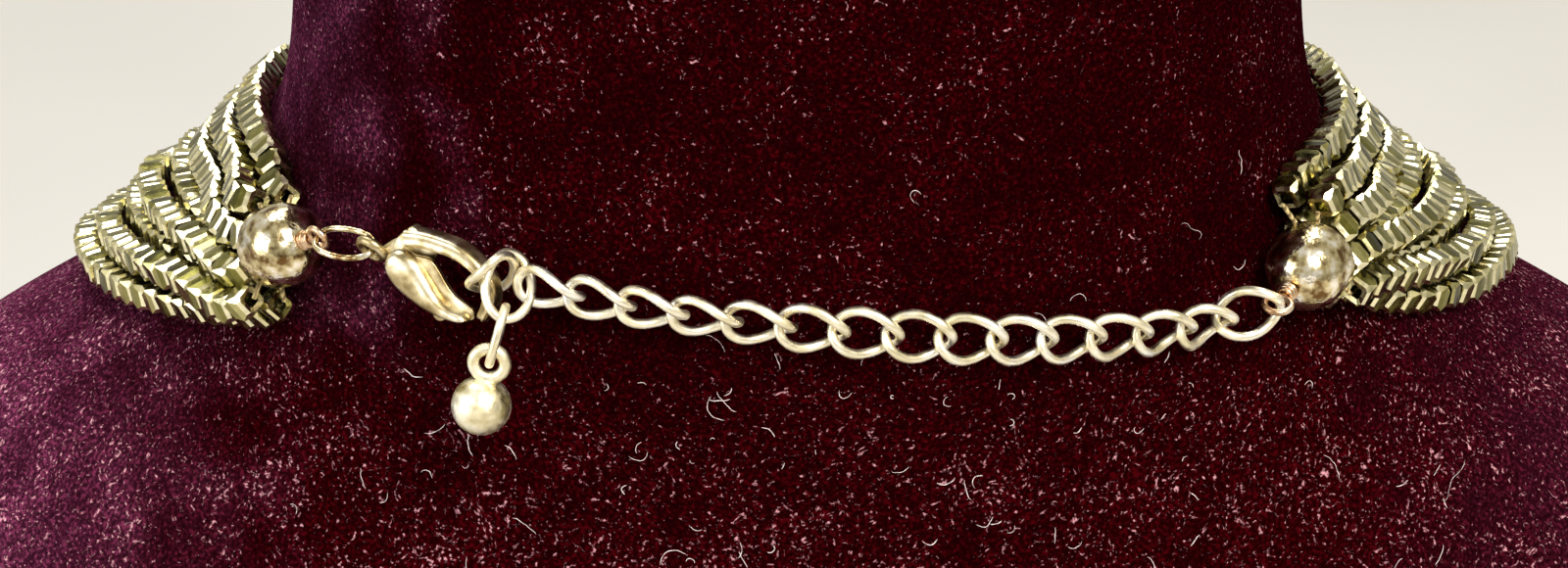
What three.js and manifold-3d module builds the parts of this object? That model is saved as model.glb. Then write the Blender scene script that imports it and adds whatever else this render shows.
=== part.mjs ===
// A bib necklace of eight bead strands on a plain neck bust. Millimetres, +Z up, the bib towards -Y.
import * as THREE from "three";
import Module from "manifold-3d";

const wasm = await Module();
wasm.setup();

const STRAND_DIAMETER = 3.0; // bead strands
const STRAND_CLEAR = 0.5; // between a strand and what it lies on
const STRAND_APART = 3.7; // between the middles of neighbouring strands
const STRAND_POINTS = 90; // on each strand's line
const SETTLE_ROUNDS = 24;
const STRAND_STEP = 9; // length of one straight piece of a strand
const WIRE = 0.95; // extender chain wire
const LINK_LENGTH = 7.35;
const LINK_WIDTH = 5.4;
const LINK_PITCH = 5.02;
const LINK_TWIST = 76; // degrees from one end of a curb link to the other
const CAP_DIAMETER = 8.3;
const CAP_LENGTH = 6.3;
const CAP_WALL = 0.5;
const CAP_HOLE = 1.7;
const PIN = 0.9; // eye wire through the end cap
const EYE_WIRE = 0.65;
const CLASP_TURN = -11.7; // degrees, the slope of the clasp down towards the chain
const CLASP_TILT = 6; // degrees, its eye lifted off the bust by the cap
const CLASP_LIFT = 3.7; // middle plane of the clasp above the bust
const CLASP_SCALE = 1.05;
const CLASP_EYE_TURN = 40; // about the clasp's long axis
const JUMP_RING_TURN = -50; // tables of the clasp to a 15.5 mm clasp
const ARM_THICK = 2.3; // hook across the clasp's plane
const BALL_DIAMETER = 5.7;
const THREAD = 0.6;
const GAP = 0.3;

// Horizontal sections of the bust: height, half width, half depth, middle in y, superellipse power.
const SECTIONS = [
  { z: 0, a: 106, b: 62, y: -4, n: 2.4 },
  { z: 40, a: 109, b: 64, y: -5, n: 2.3 },
  { z: 80, a: 111, b: 64, y: -5, n: 2.2 },
  { z: 110, a: 112, b: 62, y: -4, n: 2.0 },
  { z: 126, a: 107, b: 60, y: -3, n: 1.85 },
  { z: 136, a: 95, b: 58, y: -2, n: 1.8 },
  { z: 144.5, a: 80.5, b: 56.5, y: -1, n: 1.85 },
  { z: 152.3, a: 70.5, b: 55.5, y: 0, n: 1.95 },
  { z: 159.3, a: 62.5, b: 54.8, y: 1, n: 2.1 },
  { z: 165.5, a: 57.3, b: 54.0, y: 1.5, n: 2.2 },
  { z: 172.5, a: 54.3, b: 53.0, y: 2, n: 2.25 },
  { z: 181, a: 52.8, b: 52.0, y: 2, n: 2.25 },
  { z: 200, a: 51.5, b: 51.0, y: 2, n: 2.2 },
  { z: 226, a: 51.0, b: 50.5, y: 2, n: 2.2 },
];
// Rows of the bust's mesh: height and how far the edge rounding draws the row in.
const BUST_ROWS = [
  ...[[0, 3], [0.9, 0.9], [3, 0]],
  ...[40, 80, 105, 118, 126, 131, 136, 140, 144, 148, 152, 156].map((z) => [z, 0]),
  ...[160, 164, 168, 172, 178, 188, 204, 220].map((z) => [z, 0]),
  ...[[223, 0.8], [225.2, 2.8], [226, 6]],
];
const BUST_SIDES = 48;

// Strands from the neck outwards. Start across and above the cap's mouth, heights on the bust
// at 66, 76 and 90 degrees from the back, lowest point in front, extra lift over the shoulder.
const STRANDS = [
  { across: 6.0, out: -2.2, z66: 169.4, z76: 169.4, z90: 166.8, front: 136, lift: 0 },
  { across: 4.6, out: 1.5, z66: 166.2, z76: 165.6, z90: 162.4, front: 127, lift: 0.9 },
  { across: 1.2, out: 1.7, z66: 163.2, z76: 161.6, z90: 159.2, front: 118, lift: 0.9 },
  { across: 2.2, out: -2.2, z66: 160.2, z76: 158.3, z90: 156.4, front: 109, lift: 0 },
  { across: -2.2, out: 1.6, z66: 158.9, z76: 156.3, z90: 154.0, front: 100, lift: 1.8 },
  { across: -1.5, out: -2.2, z66: 156.6, z76: 154.1, z90: 151.8, front: 91, lift: 0 },
  { across: -5.5, out: 1.3, z66: 155.2, z76: 152.0, z90: 149.5, front: 82, lift: 1.2 },
  { across: -5.3, out: -2.3, z66: 152.4, z76: 149.6, z90: 146.7, front: 73, lift: 0 },
];

// End caps: the bust's surface under the apex and under the mouth, the axis's height above it,
// and the eye wire's loop: its width and its turn about the axis.
const CAPS = [
  { side: "left", apexX: 43.7, apexZ: 167.4, apexLift: 5.8, mouthX: 50.0, mouthZ: 162.6, mouthLift: 5.0,
    eye: 2.75, turn: -45 },
  { side: "right", apexX: -44.2, apexZ: 162.5, apexLift: 5.5, mouthX: -48.2, mouthZ: 163.8, mouthLift: 4.9,
    eye: 3.2, turn: -60 },
];
const loopMiddle = (cap) => -1.175 - cap.eye / 2; // along the cap's axis

// Extender chain from the clasp to the right cap: roll of each link about the chain's line.
const CHAIN_ROLL = [34, 30, 34, 38, 30, 18, 8, 2, 6, 11, 16, 22, 28, 34, -8];
const CHAIN_START_X = 22.6;
const chainZ = (x) => 166.7 + 0.115 * x - 0.0006 * x * x;

// Last links at the clasp's tip, and the drop. Places in mm, to the right, up and out in the tip's
// leaning frame; turns in degrees.
const TIP = { x: 27.2, z: 167.4, lift: 3.4, lean: 25 };
const TIP_LINKS = [
  { name: "clasp_link", at: [-0.21, 2.28, 1.25], turn: [41.9, -62.9, 70.1],
    length: LINK_LENGTH, width: LINK_WIDTH, wire: 0.9, twist: 40 },
  { name: "end_link", at: [1.36, 1.23, 1.51], turn: [-161.4, 165.0, -94.1],
    length: LINK_LENGTH, width: LINK_WIDTH, wire: 0.92, twist: 30 },
  { name: "drop_link", at: [0.35, -3.42, 1.93], turn: [93.0, -13.6, 73.0],
    length: 6.58, width: 3.88, wire: 0.88, twist: 0 },
  { name: "drop_ball", at: [-0.50, -6.05, 0.99], turn: [-155.9, 179.1, 167.6],
    length: 4.2, width: 4.2, wire: 1.2, twist: 0 },
];
const BALL_BELOW = 4.5; // ball's middle below its ring's

const rad = THREE.MathUtils.degToRad;
const V = (x, y, z) => new THREE.Vector3(x, y, z);

// One horizontal section, between the rows of the table.
function section(z) {
  const rows = SECTIONS;
  let k = 0;
  while (k < rows.length - 2 && z > rows[k + 1].z) k++;
  const h = rows[k + 1].z - rows[k].z;
  const t = THREE.MathUtils.clamp((z - rows[k].z) / h, 0, 1);
  const value = (c) => {
    const slope = (i) => {
      const lo = rows[Math.max(i - 1, 0)];
      const hi = rows[Math.min(i + 1, rows.length - 1)];
      return ((hi[c] - lo[c]) / (hi.z - lo.z)) * h;
    };
    const t2 = t * t;
    const t3 = t2 * t;
    return (
      (2 * t3 - 3 * t2 + 1) * rows[k][c] +
      (t3 - 2 * t2 + t) * slope(k) +
      (3 * t2 - 2 * t3) * rows[k + 1][c] +
      (t3 - t2) * slope(k + 1)
    );
  };
  return { a: value("a"), b: value("b"), y: value("y"), n: value("n") };
}

// Point of the bust at an angle from the back (+Y) towards +X, drawn in by a rounding.
function bustPoint(degrees, z, inset = 0) {
  const { a, b, y, n } = section(z);
  const s = Math.sin(rad(degrees));
  const c = Math.cos(rad(degrees));
  const power = (v) => Math.sign(v) * Math.abs(v) ** (2 / n);
  return V((a - inset) * power(s), y + (b - inset) * power(c), z);
}

// Point of the bust at an x and a height, on its back (side 1) or its front (side -1).
function bustAt(x, z, side = 1) {
  const { a, b, y, n } = section(z);
  const rest = Math.max(1 - Math.abs(x / a) ** n, 0);
  return V(x, y + side * b * rest ** (1 / n), z);
}

// Superellipse value of a point: 1 on the bust's surface, more outside it.
function outside(x, y, z) {
  const s = section(z);
  return Math.abs(x / s.a) ** s.n + Math.abs((y - s.y) / s.b) ** s.n;
}

function bustGradient(p) {
  const e = 0.05;
  return V(
    outside(p.x + e, p.y, p.z) - outside(p.x - e, p.y, p.z),
    outside(p.x, p.y + e, p.z) - outside(p.x, p.y - e, p.z),
    outside(p.x, p.y, p.z + e) - outside(p.x, p.y, p.z - e),
  ).divideScalar(2 * e);
}

// Outward normal of the bust at a point on it or near it.
const bustNormal = (p) => bustGradient(p).normalize();

// Point pushed out until it is clear of the bust's surface.
function clearOfBust(p, clear) {
  const q = p.clone();
  for (let k = 0; k < 4; k++) {
    const gradient = bustGradient(q);
    const short = clear - (outside(q.x, q.y, q.z) - 1) / gradient.length();
    if (short > 0) q.addScaledVector(gradient.normalize(), short);
  }
  return q;
}

const lifted = (p, lift) => p.clone().addScaledVector(bustNormal(p), lift);

// Frame on the back of the bust: x along the surface towards -X, y up the surface, z outwards.
function frameAt(x, z, lift) {
  const p = bustAt(x, z);
  const out = bustNormal(p);
  const right = V(0, 0, 1).cross(out).normalize();
  const m = new THREE.Matrix4().makeBasis(right, out.clone().cross(right), out);
  return m.setPosition(lifted(p, lift));
}

const turned = (m, x, y, z) =>
  m.clone().multiply(new THREE.Matrix4().makeRotationFromEuler(new THREE.Euler(rad(x), rad(y), rad(z), "ZYX")));
const moved = (m, x, y, z) => m.clone().multiply(new THREE.Matrix4().makeTranslation(x, y, z));

// Closed skin over rings of points. Open ends are closed flat.
function skin(rings, closed = false) {
  const n = rings[0].length;
  const position = rings.flat().flatMap((p) => [p.x, p.y, p.z]);
  const index = [];
  const count = closed ? rings.length : rings.length - 1;
  for (let i = 0; i < count; i++)
    for (let j = 0; j < n; j++) {
      const a = i * n + j;
      const b = i * n + ((j + 1) % n);
      const c = ((i + 1) % rings.length) * n + j;
      const d = ((i + 1) % rings.length) * n + ((j + 1) % n);
      index.push(a, b, d, a, d, c);
    }
  if (!closed)
    for (let j = 1; j < n - 1; j++) {
      const e = (rings.length - 1) * n;
      index.push(0, j + 1, j, e, e + j, e + j + 1);
    }
  let volume = 0;
  for (let i = 0; i < index.length; i += 3) {
    const [p, q, r] = [0, 1, 2].map((k) => V().fromArray(position, index[i + k] * 3));
    volume += p.dot(q.cross(r));
  }
  if (volume < 0) {
    for (let i = 0; i < index.length; i += 3) [index[i], index[i + 1]] = [index[i + 1], index[i]];
  }
  return new THREE.BufferGeometry()
    .setAttribute("position", new THREE.Float32BufferAttribute(position, 3))
    .setIndex(index);
}

// Round or oval section swept along points. Each section's wide side lies along the given sideways vectors.
function sweep(points, sideways, wide, thick, sides, closed = false) {
  const rings = points.map((p, i) => {
    const last = points.length - 1;
    const before = points[closed ? (i + last) % points.length : Math.max(i - 1, 0)];
    const after = points[closed ? (i + 1) % points.length : Math.min(i + 1, last)];
    const along = after.clone().sub(before).normalize();
    const side = sideways[i].clone().addScaledVector(along, -sideways[i].dot(along)).normalize();
    const up = along.clone().cross(side);
    const w = typeof wide === "number" ? wide : wide[i];
    const t = typeof thick === "number" ? thick : thick[i];
    return Array.from({ length: sides }, (_, j) => {
      const angle = ((j + 0.5) / sides) * 2 * Math.PI;
      return p
        .clone()
        .addScaledVector(side, (w / 2) * Math.cos(angle))
        .addScaledVector(up, (t / 2) * Math.sin(angle));
    });
  });
  return skin(rings, closed);
}

// Oval wire loop in the local x-y plane, twisted about x from end to end. A power under 1 blunts its ends.
function loop(length, width, wire, { twist = 0, steps = 14, sides = 6, power = 1 } = {}) {
  const points = [];
  const normals = [];
  for (let i = 0; i < steps; i++) {
    const t = (i / steps) * 2 * Math.PI;
    const bend = rad(twist / 2) * Math.cos(t);
    const y = ((width - wire) / 2) * Math.sign(Math.sin(t)) * Math.abs(Math.sin(t)) ** power;
    points.push(V(((length - wire) / 2) * Math.cos(t), y * Math.cos(bend), y * Math.sin(bend)));
    normals.push(V(0, -Math.sin(bend), Math.cos(bend)));
  }
  return sweep(points, normals, wire, wire, sides, true);
}

// Turned shape about the local x axis from [x, radius] rows.
function turnedSolid(profile, sides) {
  const shape = profile.map(([x, r]) => new THREE.Vector2(r, x));
  return new THREE.LatheGeometry(shape, sides).rotateZ(-Math.PI / 2);
}

// Manifold solid of a geometry, with its vertices merged.
function solid(geometry) {
  const source = geometry.index ? geometry.toNonIndexed() : geometry;
  const p = source.getAttribute("position");
  const seen = new Map();
  const vertices = [];
  const triangles = [];
  for (let i = 0; i < p.count; i++) {
    const key = [p.getX(i), p.getY(i), p.getZ(i)].map((v) => Math.round(v * 1e4)).join();
    if (!seen.has(key)) {
      seen.set(key, vertices.length / 3);
      vertices.push(p.getX(i), p.getY(i), p.getZ(i));
    }
    triangles.push(seen.get(key));
  }
  const kept = [];
  for (let i = 0; i < triangles.length; i += 3) {
    const [a, b, c] = triangles.slice(i, i + 3);
    if (a !== b && b !== c && c !== a) kept.push(a, b, c);
  }
  const made = new wasm.Manifold(
    new wasm.Mesh({
      numProp: 3,
      vertProperties: new Float32Array(vertices),
      triVerts: new Uint32Array(kept),
    }),
  );
  if (made.volume() >= 0) return made;
  for (let i = 0; i < kept.length; i += 3) [kept[i], kept[i + 1]] = [kept[i + 1], kept[i]];
  return new wasm.Manifold(
    new wasm.Mesh({
      numProp: 3,
      vertProperties: new Float32Array(vertices),
      triVerts: new Uint32Array(kept),
    }),
  );
}

function geometryOf(made) {
  const mesh = made.getMesh();
  const position = new Float32Array(mesh.numVert * 3);
  for (let i = 0; i < mesh.numVert; i++)
    position.set(mesh.vertProperties.subarray(i * mesh.numProp, i * mesh.numProp + 3), i * 3);
  return new THREE.BufferGeometry()
    .setAttribute("position", new THREE.BufferAttribute(position, 3))
    .setIndex(new THREE.BufferAttribute(mesh.triVerts, 1));
}

const joined = (...parts) => geometryOf(parts.map(solid).reduce((a, b) => a.add(b)));

const steel = { color: "#e6ddbf", roughness: 0.28, metalness: 1 };
const MATERIALS = {
  velvet: { color: "#2b0712", roughness: 0.95, metalness: 0 },
  beads: { color: "#a79c62", roughness: 0.25, metalness: 1 },
  gold: { color: "#c9b482", roughness: 0.2, metalness: 1 },
  chain: steel,
  copper: { color: "#b98a5a", roughness: 0.3, metalness: 1 },
  thread: { color: "#b9a878", roughness: 0.8, metalness: 0 },
};

const necklace = new THREE.Group();
necklace.name = "bib_necklace_on_bust";

function add(name, material, geometry, matrix) {
  if (matrix) geometry.applyMatrix4(matrix);
  geometry.computeVertexNormals();
  const mesh = new THREE.Mesh(geometry, new THREE.MeshStandardMaterial(MATERIALS[material]));
  mesh.name = name;
  necklace.add(mesh);
}

// Bust
add(
  "neck_bust",
  "velvet",
  skin(
    BUST_ROWS.map(([z, inset]) =>
      Array.from({ length: BUST_SIDES }, (_, j) => bustPoint((j / BUST_SIDES) * 360, z, inset)),
    ),
  ),
);

// End caps: bells whose mouths face the strands, with a hole at the apex for the eye wire
function capFrame({ apexX, apexZ, apexLift, mouthX, mouthZ, mouthLift, turn }) {
  const apex = lifted(bustAt(apexX, apexZ), apexLift);
  const mouth = lifted(bustAt(mouthX, mouthZ), mouthLift);
  const axis = mouth.clone().sub(apex).normalize();
  const out = bustNormal(bustAt(mouthX, mouthZ));
  const across = out.clone().cross(axis).normalize();
  if (across.z < 0) across.negate();
  const m = new THREE.Matrix4().makeBasis(axis, across, axis.clone().cross(across));
  const upright = axis.clone().cross(across);
  upright.multiplyScalar(Math.sign(upright.dot(out)));
  return { turn, axis, across, out: upright, apex, matrix: m.setPosition(apex) };
}

const R = CAP_DIAMETER / 2;
const bell = (radius, length, x) => [
  [x, CAP_HOLE / 2],
  [x + 0.05 * length, 0.48 * radius],
  [x + 0.18 * length, 0.75 * radius],
  [x + 0.38 * length, 0.93 * radius],
  [x + 0.65 * length, radius],
  [x + length, 0.98 * radius],
];
const frames = {};
for (const cap of CAPS) {
  const frame = capFrame(cap);
  frames[cap.side] = frame;
  const outer = bell(R, CAP_LENGTH, 0);
  const inner = bell(R - CAP_WALL, CAP_LENGTH - CAP_WALL, CAP_WALL).reverse();
  inner[0][0] = CAP_LENGTH;
  add("end_cap_" + cap.side, "gold", turnedSolid([...outer, ...inner, outer[0]], 24), frame.matrix);

  // Eye wire: stop inside the cap, pin through the apex, wrapped coils, loop
  const shank = turnedSolid(
    [
      [1.9, 0],
      [1.9, 0.9],
      [1.3, 0.9],
      [1.3, PIN / 2],
      [-0.3, PIN / 2],
      [-0.35, 0.85],
      [-0.6, 1.0],
      [-0.85, 0.8],
      [-1.15, 0.95],
      [-1.4, 0.7],
      [-1.6, 0],
    ],
    12,
  );
  const eye = loop(cap.eye, cap.eye, EYE_WIRE);
  eye.applyMatrix4(moved(turned(new THREE.Matrix4(), cap.turn, 0, 0), loopMiddle(cap), 0, 0));
  add("cap_wire_" + cap.side, "copper", joined(shank, eye), frame.matrix);
}

// Middle of a cap's wire loop
function eyeOf(side) {
  return V(loopMiddle(CAPS.find((cap) => cap.side === side)), 0, 0).applyMatrix4(frames[side].matrix);
}

// Bead strands from one cap's mouth over both shoulders to the other's
function strandPath(s) {
  const lift = STRAND_DIAMETER / 2 + STRAND_CLEAR;
  const half = (side) => {
    const f = frames[side > 0 ? "left" : "right"];
    const at = (along, share) =>
      f.apex
        .clone()
        .addScaledVector(f.axis, CAP_LENGTH + along)
        .addScaledVector(f.across, s.across * share)
        .addScaledVector(f.out, s.out * share);
    const back = [
      [66, s.z66, lift + 0.5 * (s.lift + Math.max(s.out + 1.4, 0))],
      [76, s.z76, lift + s.lift],
      [90, s.z90, lift + s.lift],
    ].map(([degrees, z, up]) => lifted(bustPoint(side * degrees, z), up));
    const ridge = bustPoint(90, s.z90).x;
    const front = [10, 22, 36, 52, 70].map((t) => {
      const x = ridge * Math.cos(rad(t));
      const z = s.front + (s.z90 - s.front) * (1 - Math.sin(rad(t)));
      return lifted(bustAt(side * x, z, -1), lift + s.lift * Math.cos(rad(t)) ** 4);
    });
    return [at(1.4, 0.96), at(4, 1.05), ...back, ...front];
  };
  const bottom = lifted(bustAt(0, s.front, -1), lift);
  const rough = new THREE.CatmullRomCurve3([...half(1), bottom, ...half(-1).reverse()], false, "centripetal");
  return rough.getSpacedPoints(STRAND_POINTS);
}

// Nearest point to p on a line of points.
function nearestOn(line, p) {
  let best = null;
  let near = Infinity;
  for (let i = 0; i < line.length - 1; i++) {
    const along = line[i + 1].clone().sub(line[i]);
    const t = THREE.MathUtils.clamp(p.clone().sub(line[i]).dot(along) / along.lengthSq(), 0, 1);
    const q = line[i].clone().addScaledVector(along, t);
    const d = q.distanceToSquared(p);
    if (d < near) [best, near] = [q, d];
  }
  return best;
}

// Lines moved apart, and out of the bust, until each lies clear. Their ends in the caps stay.
function settled(lines) {
  let now = lines;
  for (let round = 0; round < SETTLE_ROUNDS; round++) {
    const smooth = round < SETTLE_ROUNDS / 2 ? 0.2 : 0;
    now = now.map((line, a) =>
      line.map((p, i) => {
        if (i < 2 || i > line.length - 3) return p;
        const q = p.clone().lerp(line[i - 1].clone().lerp(line[i + 1], 0.5), smooth);
        for (const other of now) {
          if (other === now[a]) continue;
          const away = p.clone().sub(nearestOn(other, p));
          const short = STRAND_APART - away.length();
          if (short > 0) q.addScaledVector(away.normalize(), short / 2);
        }
        return clearOfBust(q, STRAND_DIAMETER / 2 + STRAND_CLEAR);
      }),
    );
  }
  return now.map((line) => new THREE.CatmullRomCurve3(line));
}

const octagon = new THREE.Shape(
  Array.from({ length: 8 }, (_, j) => {
    const angle = ((j + 0.5) / 8) * 2 * Math.PI;
    return new THREE.Vector2(Math.cos(angle), Math.sin(angle)).multiplyScalar(STRAND_DIAMETER / 2);
  }),
);
const paths = settled(STRANDS.map(strandPath));
paths.forEach((path, i) => {
  const steps = Math.round(path.getLength() / STRAND_STEP);
  const tube = new THREE.ExtrudeGeometry(octagon, { steps, bevelEnabled: false, extrudePath: path });
  add("strand_" + (i + 1), "beads", tube);
});

// Thread ends gathered in each cap on a knot
for (const [side, end] of [["left", 0], ["right", 1]]) {
  const f = frames[side];
  const knot = f.apex.clone().addScaledVector(f.axis, 3.6);
  const ball = new THREE.SphereGeometry(1.2, 10, 8).translate(knot.x, knot.y, knot.z);
  const threads = paths.map((path) => {
    const start = path.getPointAt(end);
    const away = path.getTangentAt(end).multiplyScalar(end ? 1 : -1);
    const stop = start.clone().addScaledVector(away, 2 * GAP);
    const fromAxis = stop.clone().sub(f.apex).projectOnPlane(f.axis);
    const mouth = f.apex.clone().addScaledVector(f.axis, CAP_LENGTH + 0.35).addScaledVector(fromAxis, 0.3);
    return sweep([knot, mouth, stop], [f.out, f.out, f.out], THREAD, THREAD, 5);
  });
  add("thread_ends_" + side, "thread", joined(ball, ...threads));
}

// Extender chain
const chainLine = new THREE.CatmullRomCurve3(
  Array.from({ length: 80 }, (_, i) => {
    const x = CHAIN_START_X - i;
    return lifted(bustAt(x, chainZ(x)), 2.15);
  }),
);
const chainLength = chainLine.getLength();
CHAIN_ROLL.forEach((roll, i) => {
  const u = (i * LINK_PITCH) / chainLength;
  const half = (LINK_LENGTH - WIRE) / 2;
  const p = chainLine.getPointAt(u);
  const along = chainLine.getTangentAt(u);
  if (i === CHAIN_ROLL.length - 1) {
    // the last link reaches for the right cap's loop
    const start = chainLine.getPointAt(u - half / chainLength);
    along.copy(eyeOf("right")).sub(start).normalize();
    p.copy(start).addScaledVector(along, half);
  }
  const out = bustNormal(p);
  const up = out.clone().cross(along).normalize();
  const m = new THREE.Matrix4().makeBasis(along, up, along.clone().cross(up)).setPosition(
    p.addScaledVector(out, 0.75 * Math.sin(rad(roll))),
  );
  add(
    "link_" + String(i + 1).padStart(2, "0"),
    "chain",
    loop(LINK_LENGTH, LINK_WIDTH, WIRE, { twist: LINK_TWIST }),
    turned(m, roll, 0, 0),
  );
});

// Clasp: u runs from the middle of its eye to its tip, v towards the hook, w out of the bust
const claspFrame = moved(turned(frameAt(33.6, 167.5, CLASP_LIFT), 0, CLASP_TILT, CLASP_TURN), -6.2, 0.8, 0).scale(
  V(CLASP_SCALE, CLASP_SCALE, CLASP_SCALE),
);
const PIVOT = { u: 3.3, v: 0.3, radius: 0.5 };
const ARM = [
  { u: 3.4, v: 2.75, wide: 1.7 },
  { u: 4.8, v: 3.2, wide: 1.7 },
  { u: 6.6, v: 3.52, wide: 1.7 },
  { u: 8.9, v: 3.6, wide: 1.7 },
  { u: 11.0, v: 2.95, wide: 1.6 },
  { u: 12.3, v: 1.9, wide: 1.5 },
  { u: 12.85, v: 0.7, wide: 1.45 },
  { u: 12.85, v: -0.4, wide: 1.35 },
  { u: 12.5, v: -1.75, wide: 1.05 },
];
const CHEEK = [
  [1.6, 0.2], [1.9, 1.7], [2.8, 3.0], [4.4, 3.4], [6.4, 3.3], [6.3, 2.0], [5.5, 0.1], [4.3, -1.3], [2.6, -1.2],
];
const PLATE = [
  [2.2, 0.8], [2.2, -0.4], [3.7, -1.9], [5.9, -2.6], [8.3, -2.8], [10.6, -2.5], [11.8, -1.95],
  [11.6, -1.2], [10.4, -0.8], [9.3, -0.5], [8.3, 0.2], [7.3, 1.1], [6.2, 1.75], [4.4, 1.45], [3.2, 1.6],
];
const DROP = [
  [2.15, 0.6], [2.3, -0.7], [3.7, -2.0], [5.9, -2.7], [8.3, -2.9], [10.6, -2.6], [11.6, -2.05],
  [11.0, -1.6], [9.8, -1.65], [8.7, -1.3], [7.6, -0.6], [6.5, 0.3], [5.4, 1.1], [4.2, 1.6], [3.0, 1.5],
];
const TAIL = [
  [6.9, -1.4], [8.3, -2.75], [10.6, -2.5], [11.6, -1.95], [11.3, -1.5], [9.6, -1.6], [8.5, -1.2], [7.4, -0.6],
];

// Flat piece in the clasp's plane, rounded by a spline, from height w0 to w1.
function flatPiece(outline, w0, w1, bevel = 0) {
  const spline = new THREE.CatmullRomCurve3(outline.map(([u, v]) => V(u, v, 0)), true, "centripetal");
  const shape = new THREE.Shape(spline.getSpacedPoints(outline.length * 2).slice(0, -1));
  const options = bevel
    ? { bevelThickness: bevel, bevelSize: bevel, bevelOffset: -bevel, bevelSegments: 1 }
    : { bevelEnabled: false };
  const depth = w1 - w0 - 2 * bevel;
  return new THREE.ExtrudeGeometry(shape, { depth, steps: 1, ...options }).translate(0, 0, w0 + bevel);
}
const disc = (u, v, radius, w0, w1, sides = 14) =>
  new THREE.CylinderGeometry(radius, radius, w1 - w0, sides).rotateX(Math.PI / 2).translate(u, v, (w0 + w1) / 2);

const armLine = new THREE.CatmullRomCurve3(ARM.map(({ u, v }) => V(u, v, 0)));
const armSteps = 16;
const armPoints = Array.from({ length: armSteps + 1 }, (_, i) => armLine.getPoint(i / armSteps));
const armWide = armPoints.map((_, i) => {
  const at = (i / armSteps) * (ARM.length - 1);
  const k = Math.min(Math.floor(at), ARM.length - 2);
  return THREE.MathUtils.lerp(ARM[k].wide, ARM[k + 1].wide, at - k);
});
const outOfClasp = V(0, 0, 1);
const arm = sweep(armPoints, armPoints.map(() => outOfClasp), ARM_THICK, armWide, 10);
const claspEye = loop(3.4, 3.4, 0.9, { steps: 14 }).rotateX(rad(CLASP_EYE_TURN));
const neck = sweep(
  [V(1.1, 0.2, -0.2), V(1.8, 0.7, -0.72), V(2.8, 1.4, -0.78)],
  [0, 1, 2].map(() => V(0, 1, 0)),
  [0.9, 1.5, 1.8],
  [0.8, 0.75, 0.7],
  8,
);
const { u: pivotU, v: pivotV, radius: pivotRadius } = PIVOT;
add(
  "clasp_body",
  "gold",
  joined(
    arm,
    flatPiece(CHEEK, -1.15, -0.35),
    neck,
    claspEye,
    disc(pivotU, pivotV, pivotRadius, -0.6, 0.85),
    disc(3.9, 3.45, 0.6, -0.6, 0.6),
  ),
  claspFrame,
);
const leverSolid = [
  flatPiece(PLATE, 0, 0.6),
  flatPiece(DROP, 0.4, 1.6, 0.35),
  flatPiece(TAIL, -1.1, 0.2),
  disc(8.45, -2.75, 0.75, -0.35, 0.9),
]
  .map(solid)
  .reduce((a, b) => a.add(b))
  .subtract(solid(disc(pivotU, pivotV, pivotRadius + 0.2, -1.3, 1.1, 18)));
add("clasp_lever", "gold", geometryOf(leverSolid), claspFrame);

// Oval jump ring between the left cap's wire loop and the clasp's eye
const loopMiddleLeft = eyeOf("left");
const eyeMiddle = V(0, 0, 0).applyMatrix4(claspFrame);
const ringAlong = eyeMiddle.clone().sub(loopMiddleLeft);
const ringOut = bustNormal(eyeMiddle);
const ringUp = ringOut.clone().cross(ringAlong).normalize();
const ringLine = ringAlong.clone().normalize();
const ringFrame = new THREE.Matrix4()
  .makeBasis(ringLine, ringUp, ringLine.clone().cross(ringUp))
  .setPosition(loopMiddleLeft.clone().lerp(eyeMiddle, 0.5));
const jumpRing = loop(ringAlong.length() + EYE_WIRE, 4.0, EYE_WIRE, { steps: 18, power: 0.7 });
add("jump_ring", "gold", jumpRing, turned(ringFrame, JUMP_RING_TURN, 0, 0));

// Last two links at the clasp's tip, and the ball drop hanging on them
const lean = rad(TIP.lean);
const tipFrame = new THREE.Matrix4()
  .makeBasis(V(-1, 0, 0), V(0, -Math.sin(lean), Math.cos(lean)), V(0, Math.cos(lean), Math.sin(lean)))
  .setPosition(lifted(bustAt(TIP.x, TIP.z), TIP.lift));
for (const { name, at, turn, length, width, wire, twist } of TIP_LINKS) {
  const ring = loop(length, width, wire, { twist });
  const ball = new THREE.SphereGeometry(BALL_DIAMETER / 2, 14, 10).translate(0, -BALL_BELOW, 0);
  const isDrop = name === "drop_ball";
  const shape = isDrop ? joined(ring, ball) : ring;
  add(name, isDrop ? "gold" : "chain", shape, turned(moved(tipFrame, ...at), ...turn));
}

export default necklace;
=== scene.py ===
"""A bib necklace of eight bead strands, lying on a velvet neck bust, seen from its clasp side."""

import math

import bpy
import numpy as np
from mathutils import Euler, Matrix, Vector


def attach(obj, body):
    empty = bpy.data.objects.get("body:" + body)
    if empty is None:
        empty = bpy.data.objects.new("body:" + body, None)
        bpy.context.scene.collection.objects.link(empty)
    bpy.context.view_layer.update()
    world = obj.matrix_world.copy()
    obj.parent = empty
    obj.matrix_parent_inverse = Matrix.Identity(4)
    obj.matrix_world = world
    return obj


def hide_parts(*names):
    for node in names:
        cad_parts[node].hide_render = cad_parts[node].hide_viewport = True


bl_info = {
    "name": "Bib Necklace",
    "version": (1, 0, 0),
    "blender": (4, 5, 0),
    "location": "3D View > Sidebar > Necklace",
    "description": "Builds a beaded bib necklace on a velvet neck bust",
    "category": "Add Mesh",
}

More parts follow.
